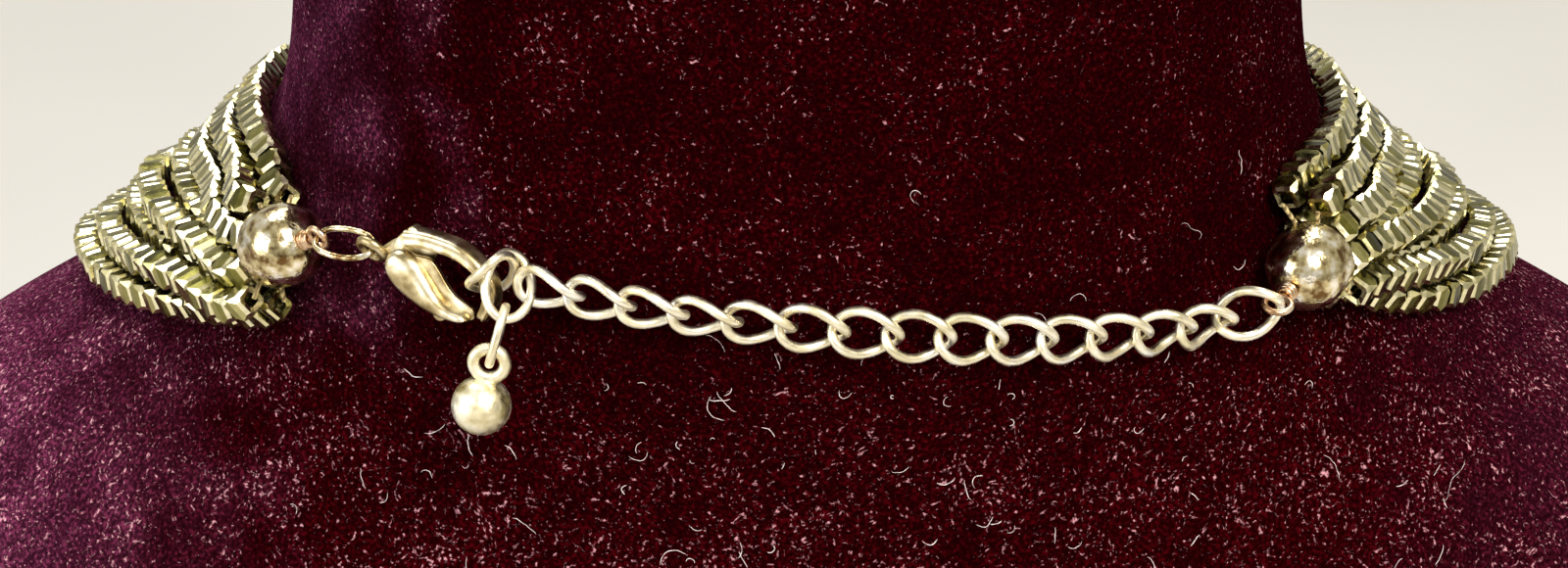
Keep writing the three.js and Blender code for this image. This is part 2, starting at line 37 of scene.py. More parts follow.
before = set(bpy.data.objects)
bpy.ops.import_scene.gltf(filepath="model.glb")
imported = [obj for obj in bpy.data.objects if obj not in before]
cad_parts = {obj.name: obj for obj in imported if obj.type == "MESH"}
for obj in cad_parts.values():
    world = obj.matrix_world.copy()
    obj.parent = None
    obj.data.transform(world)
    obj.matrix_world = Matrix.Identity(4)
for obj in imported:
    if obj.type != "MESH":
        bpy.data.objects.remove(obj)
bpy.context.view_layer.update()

MM = 0.001
SAME_POINT = 1e-6  # points nearer to each other than this are merged, in m
AT_AXIS = 0.001  # least radius of a turned shape, in mm
BODY = "necklace_on_bust"
LEVER_BODY = "clasp_lever"

# Horizontal sections of the bust in mm: height, half width, half depth, middle in y, superellipse power.
SECTIONS = np.array(
    [
        (0, 106, 62, -4, 2.4),
        (40, 109, 64, -5, 2.3),
        (80, 111, 64, -5, 2.2),
        (110, 112, 62, -4, 2.0),
        (126, 107, 60, -3, 1.85),
        (136, 95, 58, -2, 1.8),
        (144.5, 80.5, 56.5, -1, 1.85),
        (152.3, 70.5, 55.5, 0, 1.95),
        (159.3, 62.5, 54.8, 1, 2.1),
        (165.5, 57.3, 54.0, 1.5, 2.2),
        (172.5, 54.3, 53.0, 2, 2.25),
        (181, 52.8, 52.0, 2, 2.25),
        (200, 51.5, 51.0, 2, 2.2),
        (226, 51.0, 50.5, 2, 2.2),
    ]
)

# Strands from the neck outwards: across and above the cap's mouth, heights on the bust at 66, 76
# and 90 degrees from the back, lowest point in front, extra lift over the shoulder. In mm.
STRANDS = [
    (6.0, -2.2, 169.4, 169.4, 166.8, 136, 0),
    (4.6, 1.5, 166.2, 165.6, 162.4, 127, 0.9),
    (1.2, 1.7, 163.2, 161.6, 159.2, 118, 0.9),
    (2.2, -2.2, 160.2, 158.3, 156.4, 109, 0),
    (-2.2, 1.6, 158.9, 156.3, 154.0, 100, 1.8),
    (-1.5, -2.2, 156.6, 154.1, 151.8, 91, 0),
    (-5.5, 1.3, 155.2, 152.0, 149.5, 82, 1.2),
    (-5.3, -2.3, 152.4, 149.6, 146.7, 73, 0),
]
# How far each string is turned at its left and right ends: 0 shows a flat side, 45 a ridge. In degrees.
BEAD_ROLL = [(44, 6), (18, 2), (10, 8), (42, 30), (34, 14), (44, 38), (30, 26), (40, 42)]
STRAND_DIAMETER = 3.0
STRAND_CLEAR = 0.5
STRAND_APART = 3.7
STRAND_POINTS = 90
SETTLE_ROUNDS = 24
BEAD_FILL = 0.95  # share of the pitch that a bead fills

# End caps in mm and degrees: apex x, z and lift off the bust, mouth x, z and lift, loop width, loop turn.
CAPS = {
    "left": (43.7, 167.4, 5.8, 50.0, 162.6, 5.0, 2.75, -45),
    "right": (-44.2, 162.5, 5.5, -48.2, 163.8, 4.9, 3.2, -60),
}
CAP_DIAMETER = 8.3
CAP_LENGTH = 6.3
CAP_WALL = 0.5
CAP_HOLE = 1.7
PIN = 0.9
EYE_WIRE = 0.65
LOOP_START = -1.175
JUMP_RING_WIDTH = 4.0
THREAD = 0.6
KNOT_DEPTH = 3.6
KNOT_RADIUS = 1.15
MOUTH_SHARE = 0.26  # share of a strand's distance from the axis at which its thread leaves the cap
GAP = 0.3

CHAIN_ROLL = (34, 30, 34, 38, 30, 18, 8, 2, 6, 11, 16, 22, 28, 34, -8)
CHAIN_START_X = 22.6
# The chain hangs along height = first + second * x + third * x * x, this far off the bust. In mm.
CHAIN_HANG = (166.7, 0.115, -0.0006)
CHAIN_LIFT = 2.15
CHAIN_ROLL_LIFT = 0.75
WIRE = 0.95
LINK_LENGTH = 7.35
LINK_WIDTH = 5.4
LINK_PITCH = 5.02
LINK_TWIST = 76

CLASP_PLACE = (33.6, 167.5)
CLASP_SHIFT = (-6.2, 0.8, 0)
CLASP_TURN = -11.7
CLASP_TILT = 6
CLASP_LIFT = 3.7
CLASP_SCALE = 1.05
CLASP_EYE_TURN = 40
JUMP_RING_TURN = -50
PIVOT = (3.3, 0.3, 0.5)
ARM_THICK = 2.3
# Clasp outlines in mm: u from the middle of its eye to its tip, v towards the hook.
ARM = (
    (3.4, 2.75, 1.7),
    (4.8, 3.2, 1.7),
    (6.6, 3.52, 1.7),
    (8.9, 3.6, 1.7),
    (11.0, 2.95, 1.6),
    (12.3, 1.9, 1.5),
    (12.85, 0.7, 1.45),
    (12.85, -0.4, 1.35),
    (12.5, -1.75, 1.05),
)
CHEEK = (
    (1.6, 0.2), (1.9, 1.7), (2.8, 3.0), (4.4, 3.4), (6.4, 3.3),
    (6.3, 2.0), (5.5, 0.1), (4.3, -1.3), (2.6, -1.2),
)  # fmt: skip
PLATE = (
    (2.2, 0.8), (2.2, -0.4), (3.7, -1.9), (5.9, -2.6), (8.3, -2.8),
    (10.6, -2.5), (11.8, -1.95), (11.6, -1.2), (10.4, -0.8), (9.3, -0.5),
    (8.3, 0.2), (7.3, 1.1), (6.2, 1.75), (4.4, 1.45), (3.2, 1.6),
)  # fmt: skip
DROP = (
    (2.15, 0.6), (2.3, -0.7), (3.7, -2.0), (5.9, -2.7), (8.3, -2.9),
    (10.6, -2.6), (11.6, -2.05), (11.0, -1.6), (9.8, -1.65), (8.7, -1.3),
    (7.6, -0.6), (6.5, 0.3), (5.4, 1.1), (4.2, 1.6), (3.0, 1.5),
)  # fmt: skip
SPINE = ((3.3, -0.1), (4.6, -0.5), (6.4, -1.2), (8.4, -2.0), (10.6, -2.1))
TAIL = (
    (6.9, -1.4), (8.3, -2.75), (10.6, -2.5), (11.6, -1.95),
    (11.3, -1.5), (9.6, -1.6), (8.5, -1.2), (7.4, -0.6),
)  # fmt: skip

# Last links at the clasp's tip, and the drop: place to the right, up and out in the tip's leaning
# frame, turns, length, width, wire, twist. In mm and degrees.
TIP = (27.2, 167.4, 3.4, 25)
TIP_LINKS = {
    "clasp_link": ((-0.21, 2.28, 1.25), (41.9, -62.9, 70.1), LINK_LENGTH, LINK_WIDTH, 0.9, 40),
    "end_link": ((1.36, 1.23, 1.51), (-161.4, 165.0, -94.1), LINK_LENGTH, LINK_WIDTH, 0.92, 30),
    "drop_link": ((0.35, -3.42, 1.93), (93.0, -13.6, 73.0), 6.58, 3.88, 0.88, 0),
    "drop_ball": ((-0.50, -6.05, 0.99), (-155.9, 179.1, 167.6), 4.2, 4.2, 1.2, 0),
}
BALL_DIAMETER = 5.7
BALL_BELOW = 4.5

# Camera, in mm and degrees: what it looks at, how far off, how steeply down, focal length, sensor width.
VIEW_TARGET = (1.37, 56.0, 170.5)
VIEW_DISTANCE = 325
VIEW_DOWN = 25
VIEW_LENS = 80
VIEW_SENSOR = 36

# Name, place in m, width and height in m, watts, colour. All look at LIGHT_AIM.
LIGHTS = (
    ("key", (-0.35, 0.75, 0.95), (0.5, 0.5), 18, "#fff6ea"),
    ("fill", (0.9, 0.45, 0.35), (0.8, 0.8), 7, "#eef0f6"),
    ("rim", (0.1, -0.4, 0.9), (0.8, 0.5), 8, "#ffffff"),
)
LIGHT_AIM = (0, 0.03, 0.16)
WORLD = ("#eeeadc", 0.7)  # colour and strength
FLOOR_SIZE = 16
FLOOR_BELOW = 0.0002

# Zones of the velvet's painted purple sheen and of its denser painted glints low down: axis, where the zone
# starts and where it is full, in m.
SHEEN_ZONES = {
    "shoulder_side": (0, 0.047, 0.1),
    "shoulder": (2, 0.175, 0.145),
    "neck_side": (0, 0.03, 0.062),
    "neck": (2, 0.15, 0.18),
    "low": (2, 0.164, 0.15),
    "far_side": (0, -0.05, -0.11),
}
FAR_SHEEN = 0.4  # share of painted purple sheen on the chain's side
# How much denser the painted glints on the tips stand in the painted purple sheen and low down.
SHEEN_TIPS = 0.03
LOW_TIPS = 0.04

# Plated metals: colour (or the finish setting that gives it), painted dark reflections, painted highlights,
# roughness, size of the fine grain in mm, strength of its relief, size of the patches of painted reflection
# in mm.
METALS = {
    "brass_gold_plated_cast": ("gold", "#6e5230", "#fff8ea", 0.17, 1.1, 1.0, 1.5),
    "brass_gold_plated_clasp": ("#bfae84", "#8c7a54", "#efe6c8", 0.3, 2.5, 0.3, 2.2),
    "brass_frosted_ball": ("#ece2c0", "#b9ad7c", "#fffbea", 0.38, 0.9, 0.5, 2.2),
    "brass_pale_plated_wire": ("chain", "#e9dfbc", "#fffdf4", 0.36, 1.5, 0.08, 2.2),
    "copper_bright_wire": ("copper", "#a5805e", "#f0dec6", 0.28, 1.0, 0.15, 2.2),
}


# ---------------------------------------------------------------- directions
def unit(v):
    return v / np.linalg.norm(v, axis=-1, keepdims=True)


def square_to(along, v):
    """Unit directions of the parts of v at right angles to along."""
    return unit(v - along * (v * along).sum(-1, keepdims=True))


# ---------------------------------------------------------------- the bust's surface, in mm
def section(z):
    """Half width, half depth, middle and power of the bust at one height or at many."""
    z = np.clip(np.asarray(z, float), SECTIONS[0, 0], SECTIONS[-1, 0])
    heights = SECTIONS[:, 0]
    last = len(heights) - 1
    k = np.clip(np.searchsorted(heights, z, side="left") - 1, 0, last - 1)
    step = heights[k + 1] - heights[k]
    t = (z - heights[k]) / step
    lows = np.maximum(np.arange(last + 1) - 1, 0)
    highs = np.minimum(np.arange(last + 1) + 1, last)
    slopes = (SECTIONS[highs, 1:] - SECTIONS[lows, 1:]) / (heights[highs] - heights[lows])[:, None]
    t2, t3 = t * t, t**3
    h = [2 * t3 - 3 * t2 + 1, t3 - 2 * t2 + t, 3 * t2 - 2 * t3, t3 - t2]
    value = (
        h[0][..., None] * SECTIONS[k, 1:]
        + (h[1] * step)[..., None] * slopes[k]
        + h[2][..., None] * SECTIONS[k + 1, 1:]
        + (h[3] * step)[..., None] * slopes[k + 1]
    )
    return np.moveaxis(value, -1, 0)


def bust_point(degrees, z, inset=0.0):
    """Point at an angle from the back (+Y) towards +X."""
    a, b, y, n = section(z)
    s, c = math.sin(math.radians(degrees)), math.cos(math.radians(degrees))
    return np.array(
        [
            (a - inset) * math.copysign(abs(s) ** (2 / n), s),
            y + (b - inset) * math.copysign(abs(c) ** (2 / n), c),
            z,
        ]
    )


def bust_at(x, z, side=1):
    """Point at an x and a height, on the back of the bust (side 1) or its front (side -1)."""
    a, b, y, n = section(z)
    return np.array([x, y + side * b * max(1 - abs(x / a) ** n, 0) ** (1 / n), z])


def outside(p):
    """Superellipse value of points: 1 on the surface, more outside."""
    a, b, y, n = section(p[..., 2])
    return np.abs(p[..., 0] / a) ** n + np.abs((p[..., 1] - y) / b) ** n


def bust_gradient(p):
    e = 0.05
    steps = np.eye(3) * e
    return np.stack([(outside(p + d) - outside(p - d)) / (2 * e) for d in steps], -1)


def bust_normal(p):
    return unit(bust_gradient(np.asarray(p, float)))


def lifted(p, lift):
    return p + bust_normal(p) * lift


def clear_of_bust(p, clear):
    """Points pushed out until they are clear of the surface."""
    q = np.array(p, float)
    for _ in range(4):
        g = bust_gradient(q)
        size = np.linalg.norm(g, axis=-1, keepdims=True)
        short = np.maximum(clear - (outside(q) - 1)[..., None] / size, 0)
        q = q + g / size * short
    return q


# ---------------------------------------------------------------- smooth lines
class Line:
    """Smooth curve through points, with even steps along its length."""

    def __init__(self, points, closed=False):
        self.p = np.array(points, float)
        self.closed = closed
        t = np.linspace(0, 1, 401 if len(points) < 40 else 1601)
        at = self.raw(t)
        self.t = t
        self.s = np.r_[0, np.cumsum(np.linalg.norm(np.diff(at, axis=0), axis=1))]
        self.length = self.s[-1]

    def raw(self, t):
        p, n = self.p, len(self.p)
        t = np.clip(np.asarray(t, float), 0, 1)
        if self.closed:
            x = t * n
            k = np.floor(x).astype(int) % n
            w = x - np.floor(x)
            p0, p1, p2, p3 = p[(k - 1) % n], p[k], p[(k + 1) % n], p[(k + 2) % n]
        else:
            x = t * (n - 1)
            k = np.minimum(np.floor(x).astype(int), n - 2)
            w = x - k
            ends = np.vstack([2 * p[0] - p[1], p, 2 * p[-1] - p[-2]])
            p0, p1, p2, p3 = ends[k], ends[k + 1], ends[k + 2], ends[k + 3]
        d0, d1, d2 = (
            np.maximum(np.sum((b - a) ** 2, axis=-1, keepdims=True), 1e-12) ** 0.25
            for a, b in ((p0, p1), (p1, p2), (p2, p3))
        )
        m1 = ((p1 - p0) / d0 - (p2 - p0) / (d0 + d1) + (p2 - p1) / d1) * d1
        m2 = ((p2 - p1) / d1 - (p3 - p1) / (d1 + d2) + (p3 - p2) / d2) * d1
        w = w[..., None]
        return (
            (2 * w**3 - 3 * w**2 + 1) * p1
            + (w**3 - 2 * w**2 + w) * m1
            + (3 * w**2 - 2 * w**3) * p2
            + (w**3 - w**2) * m2
        )

    def at(self, s):
        """Points at distances along the line."""
        return self.raw(np.interp(s, self.s, self.t))

    def along(self, s):
        """Unit directions at distances along the line."""
        s = np.asarray(s, float)
        return unit(self.at(np.minimum(s + 0.05, self.length)) - self.at(np.maximum(s - 0.05, 0)))


def matrix_of(x, y, z, origin):
    m = np.eye(4)
    m[:3, 0], m[:3, 1], m[:3, 2], m[:3, 3] = x, y, z, origin
    return m


def turned(m, x, y, z):
    e = Euler([math.radians(v) for v in (x, y, z)], "XYZ").to_matrix().to_4x4()
    return m @ np.array(e)


def moved(m, x, y, z):
    t = np.eye(4)
    t[:3, 3] = x, y, z
    return m @ t


def placed(points, m):
    """Points carried by a matrix."""
    return points @ m[:3, :3].T + m[:3, 3]


# ---------------------------------------------------------------- layout shared by the pieces
def cap_frame(side):
    apex_x, apex_z, apex_lift, mouth_x, mouth_z, mouth_lift, _, _ = CAPS[side]
    apex = lifted(bust_at(apex_x, apex_z), apex_lift)
    mouth = lifted(bust_at(mouth_x, mouth_z), mouth_lift)
    axis = unit(mouth - apex)
    out = bust_normal(bust_at(mouth_x, mouth_z))
    across = unit(np.cross(out, axis))
    if across[2] < 0:
        across = -across
    third = np.cross(axis, across)
    return {
        "apex": apex,
        "axis": axis,
        "across": across,
        "out": third * math.copysign(1, third @ out),
        "matrix": matrix_of(axis, across, third, apex),
    }


def loop_middle(side):
    """Middle of a cap's wire loop along the cap's axis."""
    return LOOP_START - CAPS[side][6] / 2


def eye_of(side, frames):
    return placed(np.array([loop_middle(side), 0, 0]), frames[side]["matrix"])


def strand_path(row, frames):
    across, out, z66, z76, z90, front, extra = row
    lift = STRAND_DIAMETER / 2 + STRAND_CLEAR

    def half(side):
        f = frames["left" if side > 0 else "right"]

        def mouth(along, share):
            return (
                f["apex"]
                + f["axis"] * (CAP_LENGTH + along)
                + f["across"] * across * share
                + f["out"] * out * share
            )

        back = [
            lifted(bust_point(side * degrees, z), up)
            for degrees, z, up in (
                (66, z66, lift + 0.5 * (extra + max(out + 1.4, 0))),
                (76, z76, lift + extra),
                (90, z90, lift + extra),
            )
        ]
        # Down the front, by angle from the shoulder's outer end to the lowest point.
        ridge = bust_point(90, z90)[0]
        fore = []
        for t in (10, 22, 36, 52, 70):
            c, s = math.cos(math.radians(t)), math.sin(math.radians(t))
            p = bust_at(side * ridge * c, front + (z90 - front) * (1 - s), -1)
            fore.append(lifted(p, lift + extra * c**4))
        return [mouth(1.4, 0.96), mouth(4, 1.05), *back, *fore]

    bottom = lifted(bust_at(0, front, -1), lift)
    rough = Line([*half(1), bottom, *half(-1)[::-1]])
    return rough.at(np.linspace(0, rough.length, STRAND_POINTS + 1))


def nearest_on(line, p):
    """Nearest points on a line of points to each of p."""
    a, d = line[:-1], np.diff(line, axis=0)
    t = np.clip(((p[:, None] - a) * d).sum(-1) / (d * d).sum(-1), 0, 1)
    q = a + d * t[..., None]
    k = ((q - p[:, None]) ** 2).sum(-1).argmin(1)
    return q[np.arange(len(p)), k]


def settled(lines):
    """Lines moved apart, and out of the bust, until each lies clear. Their ends in the caps stay."""
    for turn in range(SETTLE_ROUNDS):
        smooth = 0.2 if turn < SETTLE_ROUNDS / 2 else 0.0
        after = []
        for a, line in enumerate(lines):
            p = line[2:-2]
            q = p + smooth * ((line[1:-3] + line[3:-1]) / 2 - p)
            for b, other in enumerate(lines):
                if a == b:
                    continue
                away = p - nearest_on(other, p)
                size = np.linalg.norm(away, axis=1, keepdims=True)
                q = q + away / size * np.maximum(STRAND_APART - size, 0) / 2
            q = clear_of_bust(q, STRAND_DIAMETER / 2 + STRAND_CLEAR)
            after.append(np.vstack([line[:2], q, line[-2:]]))
        lines = after
    return [Line(line) for line in lines]


FRAMES = {side: cap_frame(side) for side in CAPS}
PATHS = settled([strand_path(row, FRAMES) for row in STRANDS])


def clasp_frame():
    p = bust_at(*CLASP_PLACE)
    out = bust_normal(p)
    right = unit(np.cross([0, 0, 1], out))
    m = matrix_of(right, np.cross(out, right), out, lifted(p, CLASP_LIFT))
    m = moved(turned(m, 0, CLASP_TILT, CLASP_TURN), *CLASP_SHIFT)
    m[:3, :3] *= CLASP_SCALE
    return m


def chain_frames():
    """A matrix for each link of the extender chain."""
    xs = CHAIN_START_X - np.arange(80)
    level, slope, sag = CHAIN_HANG
    line = Line([lifted(bust_at(x, level + slope * x + sag * x * x), CHAIN_LIFT) for x in xs])
    half = (LINK_LENGTH - WIRE) / 2
    found = []
    for i, roll in enumerate(CHAIN_ROLL):
        s = i * LINK_PITCH
        p, along = line.at(s), line.along(s)
        if i == len(CHAIN_ROLL) - 1:
            start = line.at(s - half)
            along = unit(eye_of("right", FRAMES) - start)
            p = start + along * half
        out = bust_normal(p)
        up = unit(np.cross(out, along))
        p = p + out * CHAIN_ROLL_LIFT * math.sin(math.radians(roll))
        found.append(turned(matrix_of(along, up, np.cross(along, up), p), roll, 0, 0))
    return found


def tip_frames():
    """A matrix for each link at the clasp's tip, and for the drop."""
    x, z, lift, lean = TIP
    s, c = math.sin(math.radians(lean)), math.cos(math.radians(lean))
    tip = matrix_of((-1, 0, 0), (0, -s, c), (0, c, s), lifted(bust_at(x, z), lift))
    return {name: turned(moved(tip, *at), *turn) for name, (at, turn, *_) in TIP_LINKS.items()}


# ---------------------------------------------------------------- modelling tools
def start_clean():
    if bpy.context.object and bpy.context.object.mode != "OBJECT":
        bpy.ops.object.mode_set(mode="OBJECT")
    bpy.ops.object.select_all(action="DESELECT")


def take(o):
    start_clean()
    o.select_set(True)
    bpy.context.view_layer.objects.active = o
    return o


def named(name):
    o = bpy.context.object
    o.name = name
    o.data.name = name
    return o


def points_of(o):
    p = np.empty(len(o.data.vertices) * 3)
    o.data.vertices.foreach_get("co", p)
    return p.reshape(-1, 3)


def set_points(o, p):
    o.data.vertices.foreach_set("co", np.ascontiguousarray(p, float).ravel())
    o.data.update()


def wire_ring(name, major, minor):
    """A torus ready for reshaping: vertex i * minor + j is point j of ring i."""
    start_clean()
    bpy.ops.mesh.primitive_torus_add(
        major_segments=major, minor_segments=minor, major_radius=0.01, minor_radius=0.003
    )
    return named(name)


def drawn_out(name, sides, levels):
    """A closed round bar along z, extruded level by level. Returns it with each vertex's level and angle."""
    start_clean()
    bpy.ops.mesh.primitive_circle_add(vertices=sides, radius=1, fill_type="NGON")
    o = named(name)
    bpy.ops.object.mode_set(mode="EDIT")
    bpy.ops.mesh.select_all(action="SELECT")
    for _ in range(levels - 1):
        bpy.ops.mesh.extrude_region_move(TRANSFORM_OT_translate={"value": (0, 0, 1)})
    bpy.ops.object.mode_set(mode="OBJECT")
    p = points_of(o)
    level = np.rint(p[:, 2]).astype(int)
    turn = np.rint(np.arctan2(p[:, 1], p[:, 0]) / (2 * math.pi) * sides).astype(int) % sides
    return o, level, turn


def outward(o, merge=True):
    """Faces turned outwards, and doubles merged unless every point is to be kept."""
    take(o)
    bpy.ops.object.mode_set(mode="EDIT")
    bpy.ops.mesh.select_all(action="SELECT")
    if merge:
        bpy.ops.mesh.remove_doubles(threshold=SAME_POINT)
    bpy.ops.mesh.normals_make_consistent(inside=False)
    bpy.ops.object.mode_set(mode="OBJECT")
    return o


def many(name, points, faces):
    """One flat-shaded mesh of many small closed shapes, from its points in m and its faces."""
    start_clean()
    bpy.ops.mesh.primitive_plane_add(size=MM)
    o = named(name)
    o.data.clear_geometry()
    o.data.from_pydata(points, [], faces)
    outward(o, merge=False)
    bpy.ops.object.shade_flat()
    return o


def ball(name, middle, radius, segments, rings):
    """A sphere. In mm."""
    start_clean()
    bpy.ops.mesh.primitive_uv_sphere_add(
        segments=segments, ring_count=rings, radius=radius * MM, location=middle * MM
    )
    bpy.ops.object.transform_apply(location=True, rotation=True, scale=True)
    return named(name)


def smooth(o, degrees=180):
    take(o)
    if degrees >= 180:
        bpy.ops.object.shade_smooth()
    else:
        bpy.ops.object.shade_smooth_by_angle(angle=math.radians(degrees))
    return o


def apply_modifier(o, kind, **settings):
    take(o)
    m = o.modifiers.new(kind.title(), kind)
    for k, v in settings.items():
        setattr(m, k, v)
    bpy.ops.object.modifier_apply(modifier=m.name)
    return o


def joined(name, *parts):
    take(parts[0])
    for p in parts[1:]:
        p.select_set(True)
    bpy.ops.object.join()
    return named(name)


def swept(name, centres, sideways, wide, thick, sides, shape=None):
    """A solid bar along centres. Each section's wide side lies along sideways. In mm.

    A shape gives the section's radius as a share of the oval's, by angle."""
    n = len(centres)
    o, level, j = drawn_out(name, sides, n)
    along = unit(np.gradient(centres, axis=0))
    side = square_to(along, sideways)
    up = np.cross(along, side)
    wide, thick = np.broadcast_to(wide, n), np.broadcast_to(thick, n)
    angle = (j + 0.5) / sides * 2 * math.pi
    share = shape(angle) if shape else 1.0
    p = (
        centres[level]
        + side[level] * (wide[level] / 2 * np.cos(angle) * share)[:, None]
        + up[level] * (thick[level] / 2 * np.sin(angle) * share)[:, None]
    )
    set_points(o, p * MM)
    return outward(o)


def oval_points(length, width, twist, steps, power=1.0):
    """Middle line of an oval loop, and the normal of its plane, twisted about x from end to end."""
    t = np.arange(steps) / steps * 2 * math.pi
    bend = math.radians(twist / 2) * np.cos(t)
    y = width / 2 * np.sign(np.sin(t)) * np.abs(np.sin(t)) ** power
    centre = np.stack([length / 2 * np.cos(t), y * np.cos(bend), y * np.sin(bend)], 1)
    return centre, np.stack([0 * t, -np.sin(bend), np.cos(bend)], 1)


def wire_loop(name, m, length, width, wire, twist=0, steps=48, sides=14, power=1.0, flat=1.0):
    """An oval loop of round or flattened wire, carried by a matrix. In mm."""
    o = wire_ring(name, steps, sides)
    c, normal = oval_points(length - wire, width - wire, twist, steps, power)
    along = unit(np.roll(c, -1, 0) - np.roll(c, 1, 0))
    side = square_to(along, normal)
    up = np.cross(along, side)
    angle = np.arange(sides) / sides * 2 * math.pi
    ring = (
        c[:, None]
        + side[:, None] * (wire / 2 * np.cos(angle))[None, :, None]
        + up[:, None] * (wire / 2 * flat * np.sin(angle))[None, :, None]
    )
    set_points(o, placed(ring.reshape(-1, 3), m) * MM)
    return smooth(outward(o))


def lathe(name, m, profile, sides=48):
    """A closed profile of x and radius turned about the local x axis."""
    x, radius = np.array(profile, float).T
    radius = np.maximum(radius, AT_AXIS)
    o = wire_ring(name, sides, len(x))
    angle = np.arange(sides) / sides * 2 * math.pi
    x = np.broadcast_to(x, (sides, len(x)))
    y = radius * np.cos(angle)[:, None]
    z = radius * np.sin(angle)[:, None]
    set_points(o, placed(np.stack([x, y, z], -1).reshape(-1, 3), m) * MM)
    return outward(o)


def rounded(points, n, closed=True):
    """Even points on a smooth line through a few. Two columns in, two out."""
    p = np.array([(*q, 0) for q in points], float)
    line = Line(p, closed)
    s = np.linspace(0, line.length, n, endpoint=not closed)
    return line.at(s)[:, :2]


def circle(u, v, r):
    a = np.arange(12) / 12 * 2 * math.pi
    return [(u + r * math.cos(t), v + r * math.sin(t)) for t in a]


def plate(name, m, outline, w0, w1, bevel, segments=3, count=64):
    """A flat piece with rounded edges between two heights in the local frame. In mm."""
    edge = rounded(outline, count)
    o, level, j = drawn_out(name, count, 2)
    p = np.column_stack([edge[j], np.where(level == 1, w1, w0)])
    set_points(o, p)
    outward(o)
    if bevel:
        apply_modifier(o, "BEVEL", width=bevel, segments=segments, limit_method="ANGLE", angle_limit=0.9)
    set_points(o, placed(points_of(o), m) * MM)
    return outward(o)


def pillow(name, m, outline, spine, w0, w1, edge=0.35, rings=7, count=72):
    """A flat-backed leaf whose face swells from its outline to its spine. In mm."""
    rim = rounded(outline, count)
    middle = nearest_on(rounded(spine, 40, False), rim)
    steps = np.linspace(0, 0.86, rings)
    o, level, j = drawn_out(name, count, rings + 1)
    k = np.maximum(level - 1, 0)
    share = steps[k]
    height = w0 + edge + (w1 - w0 - edge) * np.sqrt(1 - (1 - share / 0.86) ** 2.2)
    flat = rim[j] + (middle[j] - rim[j]) * share[:, None]
    p = np.column_stack([flat, np.where(level == 0, w0, height)])
    set_points(o, placed(p, m) * MM)
    return outward(o)


def dress(o, material, slot, body, *nodes):
    o.data.materials.clear()
    o.data.materials.append(material)
    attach(o, body)
    if nodes:
        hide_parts(*nodes)
    return o


# ---------------------------------------------------------------- materials
def linear(text):
    """An sRGB hex colour as linear red, green, blue and alpha."""
    channels = [int(text[i : i + 2], 16) / 255 for i in (1, 3, 5)]
    return (*(c / 12.92 if c <= 0.04045 else ((c + 0.055) / 1.055) ** 2.4 for c in channels), 1.0)


def linked(n, links):
    """A node with its inputs fed, each by name, or by number after an i."""
    for key, source in links.items():
        n.id_data.links.new(source, n.inputs[int(key[1:]) if key[1:].isdigit() else key])
    return n


def node(tree, kind, settings=None, **links):
    """One shader node: its settings, socket values and ramp stops, and its links (i0 is the first socket)."""
    n = tree.nodes.new(kind)
    for key, value in (settings or {}).items():
        value = linear(value) if isinstance(value, str) and value.startswith("#") else value
        if key == "stops":
            elements = n.color_ramp.elements
            while len(elements) < len(value):
                elements.new(0.5)
            for element, (at, shade) in zip(elements, value):
                element.position = at
                element.color = linear(shade) if isinstance(shade, str) else (shade, shade, shade, 1)
        elif isinstance(key, str) and hasattr(n, key):
            setattr(n, key, value)
        else:
            n.inputs[key].default_value = value
    return linked(n, links)


def surface(name, settings):
    """A material's tree, its shader with a few settings, and the texture coordinates."""
    m = bpy.data.materials.new(name)
    m.use_nodes = True
    tree = m.node_tree
    tree.nodes.clear()
    out = node(tree, "ShaderNodeOutputMaterial")
    shader = node(tree, "ShaderNodeBsdfPrincipled", settings)
    linked(out, {"i0": shader.outputs[0]})
    where = node(tree, "ShaderNodeTexCoord").outputs["Object"]
    return m, tree, shader, where


def plated_metal(name, colour, painted_shading, painted_light, rough, grain_mm, bump, patch_mm):
    """Polished gold plate on brass castings and wire, with random patches of painted dark reflection and
    painted highlight.
    """
    m, tree, shader, where = surface(name, {"Metallic": 1.0})
    broad = {"Scale": 1 / (patch_mm * MM), "Detail": 3.0}
    small = {"Scale": 1 / (grain_mm * MM), "Detail": 2.5}
    reflection_patches = node(tree, "ShaderNodeTexNoise", broad, Vector=where).outputs[0]
    fine = node(tree, "ShaderNodeTexNoise", small, Vector=where).outputs[0]
    # Painted reflections: in random patches, the plate's colour shades to a dark colour (painted dark
    # reflection) and to a pale one (painted highlight).
    tints = (0.35, painted_shading), (0.5, colour), (0.64, painted_light)
    tint = node(tree, "ShaderNodeValToRGB", {"stops": tints}, i0=reflection_patches)
    gloss = node(tree, "ShaderNodeValToRGB", {"stops": ((0.3, rough * 0.7), (0.75, rough * 1.6))}, i0=fine)
    lumps = node(tree, "ShaderNodeBump", {"Strength": bump, "Distance": 0.14 * MM}, Height=fine)
    sources = {"Base Color": tint.outputs[0], "Roughness": gloss.outputs[0], "Normal": lumps.outputs[0]}
    linked(shader, sources)
    return m


